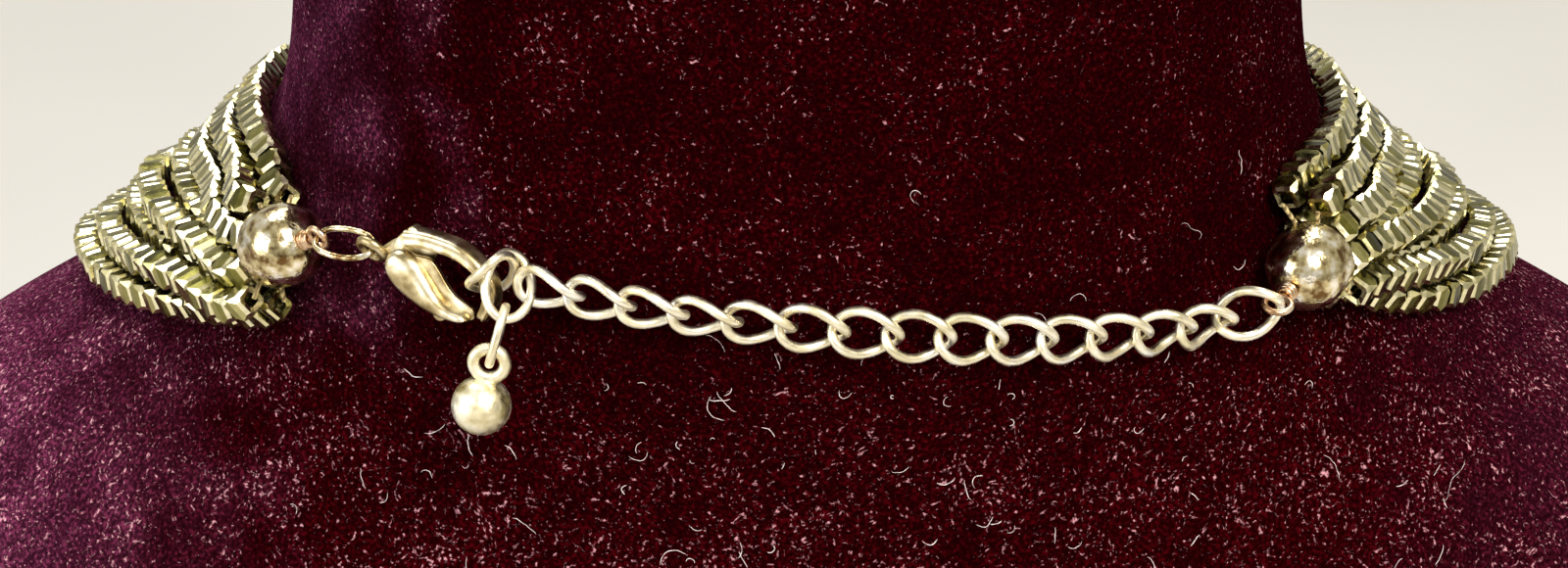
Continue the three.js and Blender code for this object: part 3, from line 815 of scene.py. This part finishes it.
def plated_beads(name):
    """Pale olive gold plate on pressed square beads. Each face's tint is in an attribute: a random tone, plus
    painted light and shade by the face's place on the bead.
    """
    m, tree, shader, where = surface(name, {"Metallic": 1.0})
    own = node(tree, "ShaderNodeAttribute", {"attribute_name": "bead_tint"}).outputs["Fac"]
    blotches = {"Scale": 1 / (1.1 * MM), "Detail": 3.0}
    smears = node(tree, "ShaderNodeTexNoise", blotches, Vector=where).outputs[0]
    # The tint runs from dark olive, for painted shade and painted dark reflections, to pale gold, for painted
    # highlights.
    tints = (0.0, "#403d16"), (0.22, "#7d7836"), (0.42, "#b0a864"), (0.7, "#e9dfae"), (1.0, "#faf2cc")
    tint = node(tree, "ShaderNodeValToRGB", {"stops": tints}, i0=own).outputs[0]
    shade = node(tree, "ShaderNodeValToRGB", {"stops": ((0.32, 0.55), (0.62, 1.0))}, i0=smears).outputs[0]
    darker = {"data_type": "RGBA", "blend_type": "MULTIPLY", 0: 0.7}
    worn = node(tree, "ShaderNodeMix", darker, i6=tint, i7=shade)
    gloss = node(tree, "ShaderNodeValToRGB", {"stops": ((0.3, 0.14), (0.7, 0.34))}, i0=smears)
    dents = node(tree, "ShaderNodeBump", {"Strength": 0.35, "Distance": 0.06 * MM}, Height=smears)
    sources = {"Base Color": worn.outputs[2], "Roughness": gloss.outputs[0], "Normal": dents.outputs[0]}
    linked(shader, sources)
    return m


def pile_velvet(name, colour, glint_colour, sheen_colour):
    """Cotton velvet: a short dense pile, near black seen straight on, with painted glints on the tips of the
    pile, painted light and shade in its grain, and a painted purple sheen in zones.
    """
    dull = {"Roughness": 1.0, "Specular IOR Level": 0.0}
    sheen = {"Sheen Weight": 0.04, "Sheen Roughness": 0.4, "Sheen Tint": sheen_colour}
    m, tree, shader, where = surface(name, {**dull, **sheen})
    # The pile leans in wandering directions, which stretches its lit tips to short strokes.
    lean = node(tree, "ShaderNodeTexNoise", {"Scale": 1 / (3 * MM), "Detail": 1.0}, Vector=where)
    leant = {"operation": "MULTIPLY_ADD", 1: (0.0024, 0.0024, 0.0024)}
    shift = node(tree, "ShaderNodeVectorMath", leant, i0=lean.outputs["Color"], i2=where).outputs[0]
    grains = {"Scale": 1 / (0.5 * MM), "Detail": 3.0, "Roughness": 0.6}
    tips = node(tree, "ShaderNodeTexNoise", grains, Vector=shift).outputs[0]
    fine = node(tree, "ShaderNodeTexNoise", {"Scale": 1 / (0.4 * MM), "Detail": 1.0}, Vector=where).outputs[0]
    crowd = node(tree, "ShaderNodeTexNoise", {"Scale": 1 / (9 * MM), "Detail": 4.0}, Vector=where).outputs[0]
    # A painted purple sheen lies on the velvet towards the clasp's side, and a little on the other side,
    # placed by where the velvet is on the bust. The edges of these zones wander with the noise.
    wander = {"operation": "MULTIPLY_ADD", 1: (0.035, 0.0, 0.03), 2: (-0.0175, 0.0, -0.015)}
    spot = node(tree, "ShaderNodeVectorMath", wander, i0=crowd).outputs[0]
    moved_spot = node(tree, "ShaderNodeVectorMath", {"operation": "ADD"}, i0=spot, i1=where).outputs[0]
    split = node(tree, "ShaderNodeSeparateXYZ", i0=moved_spot)
    zone = {}
    for part, (axis, start, full) in SHEEN_ZONES.items():
        span = {"interpolation_type": "SMOOTHSTEP", "From Min": start, "From Max": full}
        zone[part] = node(tree, "ShaderNodeMapRange", span, Value=split.outputs[axis]).outputs[0]
    times = {"operation": "MULTIPLY"}
    side = node(tree, "ShaderNodeMath", times, i0=zone["shoulder_side"], i1=zone["shoulder"]).outputs[0]
    neck = node(tree, "ShaderNodeMath", times, i0=zone["neck_side"], i1=zone["neck"]).outputs[0]
    sheen_zone = node(tree, "ShaderNodeMath", {"operation": "MAXIMUM"}, i0=side, i1=neck).outputs[0]
    part_brushed = {"operation": "MULTIPLY", 1: FAR_SHEEN}
    far = node(tree, "ShaderNodeMath", part_brushed, i0=zone["far_side"]).outputs[0]
    sheen_zone = node(tree, "ShaderNodeMath", {"operation": "MAXIMUM"}, i0=sheen_zone, i1=far).outputs[0]
    # Painted glints on the tips crowd in loose patches, more of them low down and in the painted purple
    # sheen.
    patches = {"operation": "MULTIPLY_ADD", 1: 0.24, 2: -0.162}
    drift = node(tree, "ShaderNodeMath", patches, i0=crowd).outputs[0]
    for share, source in ((SHEEN_TIPS, sheen_zone), (LOW_TIPS, zone["low"])):
        more = {"operation": "MULTIPLY_ADD", 1: share}
        drift = node(tree, "ShaderNodeMath", more, i0=source, i2=drift).outputs[0]
    # The velvet's colour, with the painted purple sheen in its zones.
    plain = node(tree, "ShaderNodeMix", {"data_type": "RGBA", 6: colour, 7: sheen_colour}, i0=sheen_zone).outputs[2]
    # Painted light and shade in the pile's grain: noise darkens and lightens the colour, and it is lighter in
    # the painted purple sheen and low down.
    height = node(tree, "ShaderNodeMath", {"operation": "ADD"}, i0=fine, i1=drift).outputs[0]
    grain_shading_stops = ((0.3, 0.35), (0.48, 0.65), (0.58, 1.15), (0.68, 2.4))
    shade = node(tree, "ShaderNodeValToRGB", {"stops": grain_shading_stops}, i0=height).outputs[0]
    shaded = {"data_type": "RGBA", "blend_type": "MULTIPLY", 0: 1.0}
    painted_shading = node(tree, "ShaderNodeMix", shaded, i6=plain, i7=shade)
    # Painted glints: where the leaning noise runs high, the pile's tips take the pale pink glint colour.
    reach = node(tree, "ShaderNodeMath", {"operation": "ADD"}, i0=tips, i1=drift).outputs[0]
    rise = (0.61, 0.0), (0.64, 0.2), (0.72, 1.0)
    glint_mask = node(tree, "ShaderNodeValToRGB", {"stops": rise}, i0=reach).outputs[0]
    tipped = {"data_type": "RGBA", 7: glint_colour}
    lit = node(tree, "ShaderNodeMix", tipped, i0=glint_mask, i6=painted_shading.outputs[2])
    pile = node(tree, "ShaderNodeBump", {"Strength": 0.8, "Distance": 0.35 * MM}, Height=tips)
    linked(shader, {"Base Color": lit.outputs[2], "Normal": pile.outputs[0]})
    return m


def spun_thread(name, colour, dark):
    """Twisted nylon beading thread, fine slanted plies."""
    m, tree, shader, where = surface(name, {"Roughness": 0.6})
    bands = {"Scale": 1 / (1.2 * MM), "Distortion": 1.5, "bands_direction": "DIAGONAL"}
    ply = node(tree, "ShaderNodeTexWave", bands, Vector=where).outputs["Fac"]
    tint = node(tree, "ShaderNodeValToRGB", {"stops": ((0.2, dark), (0.8, colour))}, i0=ply)
    bump = node(tree, "ShaderNodeBump", {"Strength": 0.5, "Distance": 0.05 * MM}, Height=ply)
    linked(shader, {"Base Color": tint.outputs[0], "Normal": bump.outputs[0]})
    return m


def matt_speckled(name, size_mm, dark, colour, rough):
    """A matt surface with a faint mottle: loose cotton fibre, or painted board."""
    m, tree, shader, where = surface(name, {"Roughness": rough})
    mottle = node(tree, "ShaderNodeTexNoise", {"Scale": 1 / (size_mm * MM)}, Vector=where).outputs[0]
    tint = node(tree, "ShaderNodeValToRGB", {"stops": ((0.3, dark), (0.65, colour))}, i0=mottle)
    linked(shader, {"Base Color": tint.outputs[0]})
    return m


def finish_named(kind):
    """The object's finishes, each made once."""
    made = bpy.data.materials.get(kind)
    if made:
        return made
    f = bpy.context.scene.necklace_finish
    if kind == "velvet_cotton_pile":
        return pile_velvet(kind, f.velvet, f.velvet_sheen, f.velvet_purple_sheen)
    if kind == "brass_gold_plated_beads":
        return plated_beads(kind)
    if kind in METALS:
        colour, *rest = METALS[kind]
        return plated_metal(kind, colour if colour.startswith("#") else getattr(f, colour), *rest)
    if kind == "nylon_beading_thread":
        return spun_thread(kind, f.thread, "#6b5a34")
    if kind == "cotton_lint":
        return matt_speckled(kind, 0.6, "#9a8a8c", "#f2e8ea", 0.9)
    return matt_speckled(kind, 250, "#aeaca8", "#bab8b4", 0.8)


# ---------------------------------------------------------------- what a user would change
def length_setting(name, description, millimetres):
    return bpy.props.FloatProperty(
        name=name, description=description, default=millimetres * MM, unit="LENGTH", precision=5
    )


def colour_setting(name, description, colour):
    return bpy.props.StringProperty(name=name, description=description, default=colour)


class NecklaceSizes(bpy.types.PropertyGroup):
    bead_pitch: length_setting("Bead pitch", "Step from bead to bead", 2.8)
    bead_width: length_setting("Bead width", "Side of a bead's square section", 2.74)
    bead_hole: length_setting("Bead hole", "Diameter of a bead's hole", 1.5)
    lint_count: bpy.props.IntProperty(
        name="Lint", description="Loose fibres on the velvet", default=90, min=0
    )


class NecklaceFinish(bpy.types.PropertyGroup):
    velvet: colour_setting("Velvet", "Velvet straight on", "#230103")
    # Colour of the painted purple sheen in zones on the velvet, and of the velvet's sheen.
    velvet_purple_sheen: colour_setting("Velvet nap", "Velvet brushed flat", "#4a1d34")
    velvet_sheen: colour_setting("Velvet tips", "Lit tips of the pile", "#c08a96")
    gold: colour_setting("Gold", "End caps and jump ring", "#d2c294")
    chain: colour_setting("Chain", "Extender chain", "#fbf3da")
    copper: colour_setting("Copper", "Eye wires", "#cfae8c")
    thread: colour_setting("Thread", "Beading thread", "#c4b17c")


# ---------------------------------------------------------------- the pieces
class NECKLACE_OT_bust(bpy.types.Operator):
    """Velvet bust with a flat base"""

    bl_idname = "necklace.bust"
    bl_label = "Neck bust"

    SIDES = 144
    LEVELS = 84

    def execute(self, context):
        o, level, j = drawn_out("bust_velvet", self.SIDES, self.LEVELS)
        # The rings' heights, and how far the rings at both ends are drawn in for the rounded edges.
        heights = np.r_[
            0, 0.35, 1.1, 2.2, 3.6, np.linspace(10, 110, 12), np.linspace(113, 186, 48),
            np.linspace(190, 220, 12), 222.4, 223.8, 224.9, 225.5, 225.85, 226, 226,
        ]
        inset = np.zeros(len(heights))
        inset[:5] = 3, 1.6, 0.7, 0.18, 0
        inset[-7:] = 0, 0.5, 1.3, 2.4, 4.0, 7.0, 12.0
        a, b, y, n = section(heights)
        turn = j / self.SIDES * 2 * math.pi
        s, c = np.sin(turn), np.cos(turn)
        k = level
        power = 2 / n[k]
        p = np.stack(
            [
                (a - inset)[k] * np.sign(s) * np.abs(s) ** power,
                y[k] + (b - inset)[k] * np.sign(c) * np.abs(c) ** power,
                heights[k],
            ],
            1,
        )
        set_points(o, p * MM)
        smooth(outward(o), 50)
        dress(o, finish_named("velvet_cotton_pile"), "velvet", BODY, "neck_bust")
        return {"FINISHED"}


def square_bead(width, hole, length):
    """One short square bead along z: long six-sided faces, cut rims and a round hole. In m.

    Gives its points, its faces, and the painted light and shade of each face."""
    half = width / 2
    # Rings along the bead: height, half width, how much of each corner is cut.
    rings = ((-0.5, 0.8, 0.3), (-0.34, 0.99, 0.42), (0, 1.03, 0.07), (0.34, 0.99, 0.42), (0.5, 0.8, 0.3))
    verts = []
    for z, share, cut in rings:
        w = half * share
        c = w * (1 - cut)
        for x, y in ((w, c), (c, w), (-c, w), (-w, c), (-w, -c), (-c, -w), (c, -w), (w, -c)):
            verts.append((x, y, z * length))
    for z in (0.46, -0.46):
        for x, y, _ in verts[:8]:
            a = math.atan2(y, x)
            verts.append((hole / 2 * math.cos(a), hole / 2 * math.sin(a), z * length))
    faces, painted_light = [], []
    # Painted light and shade on the sides and cut corners of each band between two rings: painted highlights
    # on the rims, painted dark reflections on the broad sides, painted shade in the hole. The last three are
    # an end, the hole and the other end.
    bands = ((0.9, 0.9), (0.25, 0.7), (0.25, 0.7), (0.9, 0.9), (0.6, 0.6), (0, 0), (0.6, 0.6))
    for k, (side, corner) in enumerate(bands):
        a, b = k * 8, (k + 1) % 7 * 8
        for i in range(8):
            i2 = (i + 1) % 8
            faces.append((a + i, a + i2, b + i2, b + i))
            painted_light.append(side if i % 2 else corner)
    return np.array(verts), np.array(faces), np.array(painted_light)


class NECKLACE_OT_strands(bpy.types.Operator):
    """Eight strings of square beads"""

    bl_idname = "necklace.strands"
    bl_label = "Bead strands"

    # How the beads vary: slow twists of a string (radians, mm), each bead's own roll and lean
    # (radians), and the brightness of a bead and of one of its faces.
    TWISTS = ((0.16, 31), (0.08, 9))
    ROLL_SPREAD = 0.1
    LEAN_SPREAD = 0.095
    BEAD_TINT_SPREAD = 0.1
    FACE_TINT_SPREAD = 0.07
    ENDS_HELD = 8

    def execute(self, context):
        sizes = context.scene.necklace_sizes
        verts, faces, painted_light = square_bead(sizes.bead_width, sizes.bead_hole, sizes.bead_pitch * BEAD_FILL)
        rng = np.random.default_rng(7)
        for number, path in enumerate(PATHS, 1):
            pitch = sizes.bead_pitch / MM
            count = int(path.length / pitch)
            s = (np.arange(count) + 0.5) * path.length / count
            centre, along = path.at(s), path.along(s)
            out = square_to(along, bust_normal(centre))
            side = np.cross(along, out)
            # Each string twists slowly between a flat side and a ridge facing out.
            phase = rng.uniform(0, 6.28, 2)
            ends = np.radians(BEAD_ROLL[number - 1])
            roll = np.interp(s, [self.ENDS_HELD, path.length - self.ENDS_HELD], ends)
            for (twist, wave), start in zip(self.TWISTS, phase):
                roll += twist * np.sin(s / wave + start)
            roll += rng.normal(0, self.ROLL_SPREAD, count)
            lean = rng.normal(0, self.LEAN_SPREAD, (count, 2))
            x = out * np.cos(roll)[:, None] + side * np.sin(roll)[:, None]
            y = np.cross(along, x)
            z = unit(along + x * lean[:, :1] + y * lean[:, 1:])
            p = (
                centre[:, None] * MM
                + verts[None, :, 0, None] * x[:, None]
                + verts[None, :, 1, None] * y[:, None]
                + verts[None, :, 2, None] * z[:, None]
            )
            every = faces[None] + (np.arange(count) * len(verts))[:, None, None]
            o = many(f"bead_strand_{number}", p.reshape(-1, 3), every.reshape(-1, 4))
            # Each face's tint: a random tone for the bead and for the face, plus the painted light and shade
            # of the face's place on the bead.
            tint = o.data.attributes.new("bead_tint", "FLOAT", "FACE")
            own = rng.normal(0, self.BEAD_TINT_SPREAD, (count, 1))
            own = own + rng.normal(0, self.FACE_TINT_SPREAD, (count, len(faces)))
            tint.data.foreach_set("value", np.clip(own + painted_light, 0, 1).ravel())
            dress(o, finish_named("brass_gold_plated_beads"), "beads", BODY, f"strand_{number}")
        return {"FINISHED"}


class NECKLACE_OT_end_caps(bpy.types.Operator):
    """Bell caps, their eye wires and the thread ends inside them"""

    bl_idname = "necklace.end_caps"
    bl_label = "End caps"

    def execute(self, context):
        gold, copper, thread = (
            finish_named(k) for k in ("brass_gold_plated_cast", "copper_bright_wire", "nylon_beading_thread")
        )
        for side in CAPS:
            m = FRAMES[side]["matrix"]
            self.cap(side, m, gold)
            self.eye_wire(side, m, copper)
            self.threads(side, thread)
        return {"FINISHED"}

    def cap(self, side, m, gold):
        r, w = CAP_DIAMETER / 2, CAP_WALL
        bell = (
            (0, 0.3), (0.012, 0.36), (0.05, 0.49), (0.11, 0.63), (0.18, 0.755), (0.27, 0.85),
            (0.38, 0.93), (0.5, 0.98), (0.65, 1.0), (0.85, 1.0), (0.97, 0.985), (1.0, 0.965),
        )  # fmt: skip
        outer = [(x * CAP_LENGTH, s * r) for x, s in bell]
        outer[0] = (0.0, CAP_HOLE / 2)
        inner = [(w + x * (CAP_LENGTH - w), max(s * (r - w), CAP_HOLE / 2)) for x, s in bell[::-1]]
        inner[0] = (CAP_LENGTH, (r - w) * 0.99)
        o = lathe(f"cap_{side}", m, [*outer, *inner], 64)
        smooth(o, 40)
        dress(o, gold, "gold", BODY, f"end_cap_{side}")

    def eye_wire(self, side, m, copper):
        width, turn = CAPS[side][6:]
        # The pin's profile, x and radius, from its head inside the cap to the loop.
        head = ((1.9, 0.0), (1.9, 0.9), (1.3, 0.9))
        pin = head + tuple((x, PIN / 2) for x in (1.3, -0.3, -1.6)) + ((-1.6, 0.0),)
        parts = [lathe("pin", m, pin, 24)]
        for k, x in enumerate((-0.35, -0.75, -1.12)):
            coil = turned(moved(m, x, 0, 0), 0, 90 + 8 * (k % 2), 0)
            parts.append(wire_loop("wrap", coil, 2.1 - 0.12 * k, 2.1 - 0.12 * k, 0.46))
        eye = turned(m, turn, 0, 0)
        parts.append(wire_loop("eye", moved(eye, loop_middle(side), 0, 0), width, width, EYE_WIRE, steps=56))
        o = joined(f"eye_wire_{side}", *parts)
        smooth(o, 40)
        dress(o, copper, "copper_wire", BODY, f"cap_wire_{side}")

    def threads(self, side, thread):
        f = FRAMES[side]
        knot = f["apex"] + f["axis"] * KNOT_DEPTH
        parts = [ball("knot", knot, KNOT_RADIUS, 24, 16)]
        for path in PATHS:
            s = 0.0 if side == "left" else path.length
            start = path.at(s)
            away = path.along(s) * (-1 if side == "left" else 1)
            stop = start + away * 2 * GAP
            radial = stop - f["apex"]
            radial = radial - f["axis"] * (radial @ f["axis"])
            mouth = f["apex"] + f["axis"] * CAP_LENGTH + radial * MOUTH_SHARE
            line = Line([knot, (knot + mouth) / 2, mouth, stop])
            at = np.linspace(0, line.length, 9)
            parts.append(
                swept("end", line.at(at), np.broadcast_to(f["out"], (9, 3)), THREAD * 0.8, THREAD * 0.8, 8)
            )
        o = joined(f"thread_gather_{side}", *parts)
        smooth(o, 60)
        dress(o, thread, "thread", BODY, f"thread_ends_{side}")


class NECKLACE_OT_chain(bpy.types.Operator):
    """Twisted curb links of the extender chain"""

    bl_idname = "necklace.chain"
    bl_label = "Extender chain"

    def execute(self, context):
        material = finish_named("brass_pale_plated_wire")
        for i, m in enumerate(chain_frames(), 1):
            o = wire_loop(f"curb_link_{i:02d}", m, LINK_LENGTH, LINK_WIDTH, WIRE, LINK_TWIST, 56, 16)
            dress(o, material, "chain", BODY, f"link_{i:02d}")
        return {"FINISHED"}


class NECKLACE_OT_clasp(bpy.types.Operator):
    """Lobster clasp body: eye, back cheek, grooved hook and pivot pin"""

    bl_idname = "necklace.clasp"
    bl_label = "Clasp body"

    def execute(self, context):
        m = clasp_frame()
        arm = Line([(u, v, 0) for u, v, _ in ARM])
        s = np.linspace(0, arm.length, 56)
        share = np.linspace(0, len(ARM) - 1, 56)
        wide = np.interp(share, range(len(ARM)), [row[2] for row in ARM])
        # The hook's tip is rounded off.
        end = (arm.length - s) / 0.5
        tip = np.sqrt(np.clip(1 - np.clip(1 - end, 0, 1) ** 2, 0.12, 1))
        wide = wide * tip
        thick = ARM_THICK * tip

        def section_share(a):
            box = 1 / (np.abs(np.cos(a)) ** 3.4 + np.abs(np.sin(a)) ** 3.4) ** (1 / 3.4)
            groove = np.exp(-((np.abs(np.cos(a)) - 1) / 0.06) ** 2) * 0.1
            return box * 0.97 - groove

        # The arm's section is a rounded box with a fine groove along its edges.
        parts = [self.bar("arm", m, arm.at(s), thick, wide, 32, section_share)]
        parts.append(plate("cheek", m, CHEEK, -1.15, -0.35, 0.22))
        # A neck joins the eye to the cheek.
        neck = Line([(1.1, 0.2, -0.2), (1.8, 0.7, -0.72), (2.8, 1.4, -0.78)])
        s = np.linspace(0, neck.length, 12)
        parts.append(
            self.bar(
                "neck", m, neck.at(s), np.interp(s, [0, neck.length], [0.85, 0.7]),
                np.interp(s, [0, neck.length / 2, neck.length], [0.9, 1.5, 1.8]), 16,
            )
        )  # fmt: skip
        parts.append(wire_loop("ring", turned(m, CLASP_EYE_TURN, 0, 0), 3.4, 3.4, 0.9, steps=48, sides=16))
        parts.append(plate("pin", m, circle(*PIVOT), -0.6, 0.85, 0.12, count=28))
        parts.append(plate("boss", m, circle(3.9, 3.45, 0.6), -0.6, 0.6, 0.15, count=28))
        o = joined("clasp_hook", *parts)
        smooth(o, 38)
        dress(o, finish_named("brass_gold_plated_clasp"), "gold", BODY, "clasp_body")
        return {"FINISHED"}

    def bar(self, name, m, centres, wide, thick, sides, shape=None):
        out = np.broadcast_to(m[:3, 2] / CLASP_SCALE, centres.shape)
        return swept(name, placed(centres, m), out, wide * CLASP_SCALE, thick * CLASP_SCALE, sides, shape)


class NECKLACE_OT_lever(bpy.types.Operator):
    """Lobster clasp lever: teardrop face, inner plate and thumb nub"""

    bl_idname = "necklace.lever"
    bl_label = "Clasp lever"

    def execute(self, context):
        m = clasp_frame()
        parts = [
            plate("plate", m, PLATE, 0.0, 0.6, 0.14, count=96),
            pillow("face", m, DROP, SPINE, 0.45, 1.75),
            plate("tail", m, TAIL, -1.1, 0.2, 0.2, count=64),
            plate("nub", m, circle(8.45, -2.75, 0.75), -0.35, 0.9, 0.25, count=28),
        ]
        o = joined("clasp_lever_face", *parts)
        smooth(o, 42)
        dress(o, finish_named("brass_gold_plated_clasp"), "gold", LEVER_BODY, "clasp_lever")
        return {"FINISHED"}


class NECKLACE_OT_jump_ring(bpy.types.Operator):
    """Oval jump ring between the left cap and the clasp"""

    bl_idname = "necklace.jump_ring"
    bl_label = "Jump ring"

    def execute(self, context):
        start, stop = eye_of("left", FRAMES), clasp_frame()[:3, 3]
        along = stop - start
        out = bust_normal(stop)
        up, line = unit(np.cross(out, along)), unit(along)
        m = turned(matrix_of(line, up, np.cross(line, up), (start + stop) / 2), JUMP_RING_TURN, 0, 0)
        length = np.linalg.norm(along) + EYE_WIRE
        o = wire_loop("oval_jump_ring", m, length, JUMP_RING_WIDTH, EYE_WIRE, steps=64, sides=16, power=0.7)
        dress(o, finish_named("brass_gold_plated_cast"), "gold", BODY, "jump_ring")
        return {"FINISHED"}


class NECKLACE_OT_lint(bpy.types.Operator):
    """Loose curled fibres on the velvet round the chain"""

    bl_idname = "necklace.lint"
    bl_label = "Lint"

    POINTS = 14
    SIDES = 5
    # In mm. Where the fibres lie across the back: middle, spread, limit. How high: least, most
    # common, most. The neck above the shoulders is narrower. Length: gamma shape and scale, least.
    ACROSS = (-10, 34, 66)
    HEIGHT = (126, 140, 180)
    NECK_ABOVE = 158
    NECK_SHARE = 0.68
    LENGTH = (2.0, 0.65, 0.5)
    RADIUS = (0.022, 0.045)
    OFF_VELVET = (0.16, 0.12)

    def execute(self, context):
        rng = np.random.default_rng(11)
        count, points, sides = context.scene.necklace_sizes.lint_count, self.POINTS, self.SIDES
        centre, out = self.curls(rng, count)
        along = unit(np.gradient(centre, axis=1))
        side = unit(np.cross(along, out))
        up = np.cross(side, along)
        taper = np.sqrt(1.02 - (2 * np.linspace(-0.5, 0.5, points)) ** 4)
        thick = (rng.uniform(*self.RADIUS, count)[:, None] * taper)[..., None, None]
        turn = np.arange(sides) / sides * 2 * math.pi
        ring = centre[:, :, None] + thick * (
            side[:, :, None] * np.cos(turn)[:, None] + up[:, :, None] * np.sin(turn)[:, None]
        )
        i = np.arange(points - 1)[:, None] * sides
        j, j2 = np.arange(sides), (np.arange(sides) + 1) % sides
        walls = np.stack([i + j, i + j2, i + sides + j2, i + sides + j], -1).reshape(-1, 4)
        start = np.arange(count) * points * sides
        faces = [tuple(f + k) for k in start for f in walls]
        faces += [tuple(k + end) for k in start for end in (j[::-1], (points - 1) * sides + j)]
        o = smooth(many("lint_fibres", (ring * MM).reshape(-1, 3), faces), 60)
        dress(o, finish_named("cotton_lint"), "velvet", BODY)
        return {"FINISHED"}

    def curls(self, rng, count):
        """Middle lines of the fibres, just off the back of the bust, and its normals there. In mm."""
        middle, spread, limit = self.ACROSS
        x = np.clip(rng.normal(middle, spread, count), -limit, limit)
        z = rng.triangular(*self.HEIGHT, count)
        x = np.where(z > self.NECK_ABOVE, x * self.NECK_SHARE, x)
        shape, scale, least = self.LENGTH
        length = rng.gamma(shape, scale, count) + least
        heading = rng.uniform(0, 6.28, count)
        curl = rng.normal(0, 0.9, count) / length
        wave = rng.normal(0, 0.35, count)
        s = np.linspace(-0.5, 0.5, self.POINTS) * length[:, None]
        angle = heading[:, None] + curl[:, None] * s * 2 + wave[:, None] * np.sin(s * 2.2)
        step = (length / (self.POINTS - 1))[:, None]
        u = x[:, None] + np.cumsum(np.cos(angle), 1) * step
        v = z[:, None] + np.cumsum(np.sin(angle), 1) * step
        a, b, y, n = section(v)
        p = np.stack([u, y + b * np.maximum(1 - np.abs(u / a) ** n, 1e-4) ** (1 / n), v], -1)
        out = bust_normal(p)
        least, wave = self.OFF_VELVET
        return p + out * (least + wave * np.abs(np.sin(3 * s + x[:, None])))[..., None], out


class NECKLACE_OT_tip_links(bpy.types.Operator):
    """Last two links on the clasp, and the ball drop under them"""

    bl_idname = "necklace.tip_links"
    bl_label = "Tip links and drop"

    def execute(self, context):
        chain, gold = finish_named("brass_pale_plated_wire"), finish_named("brass_frosted_ball")
        for name, m in tip_frames().items():
            _, _, length, width, wire, twist = TIP_LINKS[name]
            ring = wire_loop(f"{name}_wire", m, length, width, wire, twist, 56, 16)
            if name != "drop_ball":
                dress(ring, chain, "chain", BODY, name)
                continue
            round_end = ball("ball", placed(np.array([0, -BALL_BELOW, 0]), m), BALL_DIAMETER / 2, 48, 32)
            o = smooth(joined("ball_drop", ring, round_end))
            dress(o, gold, "gold", BODY, name)
        return {"FINISHED"}


class NECKLACE_OT_stage(bpy.types.Operator):
    """Floor, light and camera"""

    bl_idname = "necklace.stage"
    bl_label = "Stage"

    def execute(self, context):
        start_clean()
        bpy.ops.mesh.primitive_plane_add(size=FLOOR_SIZE, location=(0, 0, -FLOOR_BELOW))
        floor = named("floor")
        floor.data.materials.append(finish_named("board_painted_matt"))
        self.lights()
        world = bpy.data.worlds.new("studio")
        world.use_nodes = True
        background = world.node_tree.nodes["Background"]
        background.inputs[0].default_value = linear(WORLD[0])
        background.inputs[1].default_value = WORLD[1]
        context.scene.world = world
        context.scene.view_settings.view_transform = "Standard"
        self.camera(context)
        return {"FINISHED"}

    def lights(self):
        for name, place, size, power, colour in LIGHTS:
            light = bpy.data.lights.new(name, "AREA")
            light.shape = "RECTANGLE"
            light.size, light.size_y = size
            light.energy = power
            light.color = linear(colour)[:3]
            o = bpy.data.objects.new(name, light)
            o.location = place
            o.rotation_euler = (Vector(LIGHT_AIM) - Vector(place)).to_track_quat("-Z", "Y").to_euler()
            bpy.context.scene.collection.objects.link(o)

    def camera(self, context):
        data = bpy.data.cameras.new("camera")
        data.lens, data.sensor_width, data.sensor_fit = VIEW_LENS, VIEW_SENSOR, "HORIZONTAL"
        data.clip_start, data.clip_end = 0.01, 20
        o = bpy.data.objects.new("camera", data)
        context.scene.collection.objects.link(o)
        down = math.radians(VIEW_DOWN)
        look = Vector((0, -math.cos(down), -math.sin(down)))
        target = Vector(VIEW_TARGET) * MM
        right, up = Vector((-1, 0, 0)), Vector((0, -math.sin(down), math.cos(down)))
        turn = Matrix((right, up, -look)).transposed().to_4x4()
        o.matrix_world = Matrix.Translation(target - look * VIEW_DISTANCE * MM) @ turn
        context.scene.camera = o


PIECES = (
    NECKLACE_OT_stage,
    NECKLACE_OT_bust,
    NECKLACE_OT_strands,
    NECKLACE_OT_end_caps,
    NECKLACE_OT_chain,
    NECKLACE_OT_clasp,
    NECKLACE_OT_lever,
    NECKLACE_OT_jump_ring,
    NECKLACE_OT_tip_links,
    NECKLACE_OT_lint,
)


class NECKLACE_PT_panel(bpy.types.Panel):
    """Buttons for each piece"""

    bl_label = "Bib necklace"
    bl_idname = "NECKLACE_PT_panel"
    bl_space_type = "VIEW_3D"
    bl_region_type = "UI"
    bl_category = "Necklace"

    def draw(self, context):
        for group in (context.scene.necklace_sizes, context.scene.necklace_finish):
            for key in group.__annotations__:
                self.layout.prop(group, key)
        for piece in PIECES:
            self.layout.operator(piece.bl_idname)


CLASSES = (NecklaceSizes, NecklaceFinish, *PIECES, NECKLACE_PT_panel)


def register():
    for c in CLASSES:
        bpy.utils.register_class(c)
    bpy.types.Scene.necklace_sizes = bpy.props.PointerProperty(type=NecklaceSizes)
    bpy.types.Scene.necklace_finish = bpy.props.PointerProperty(type=NecklaceFinish)


def unregister():
    del bpy.types.Scene.necklace_finish
    del bpy.types.Scene.necklace_sizes
    for c in reversed(CLASSES):
        bpy.utils.unregister_class(c)


def main():
    register()
    for piece in PIECES:
        family, name = piece.bl_idname.split(".")
        getattr(getattr(bpy.ops, family), name)()


if __name__ == "__main__":
    main()
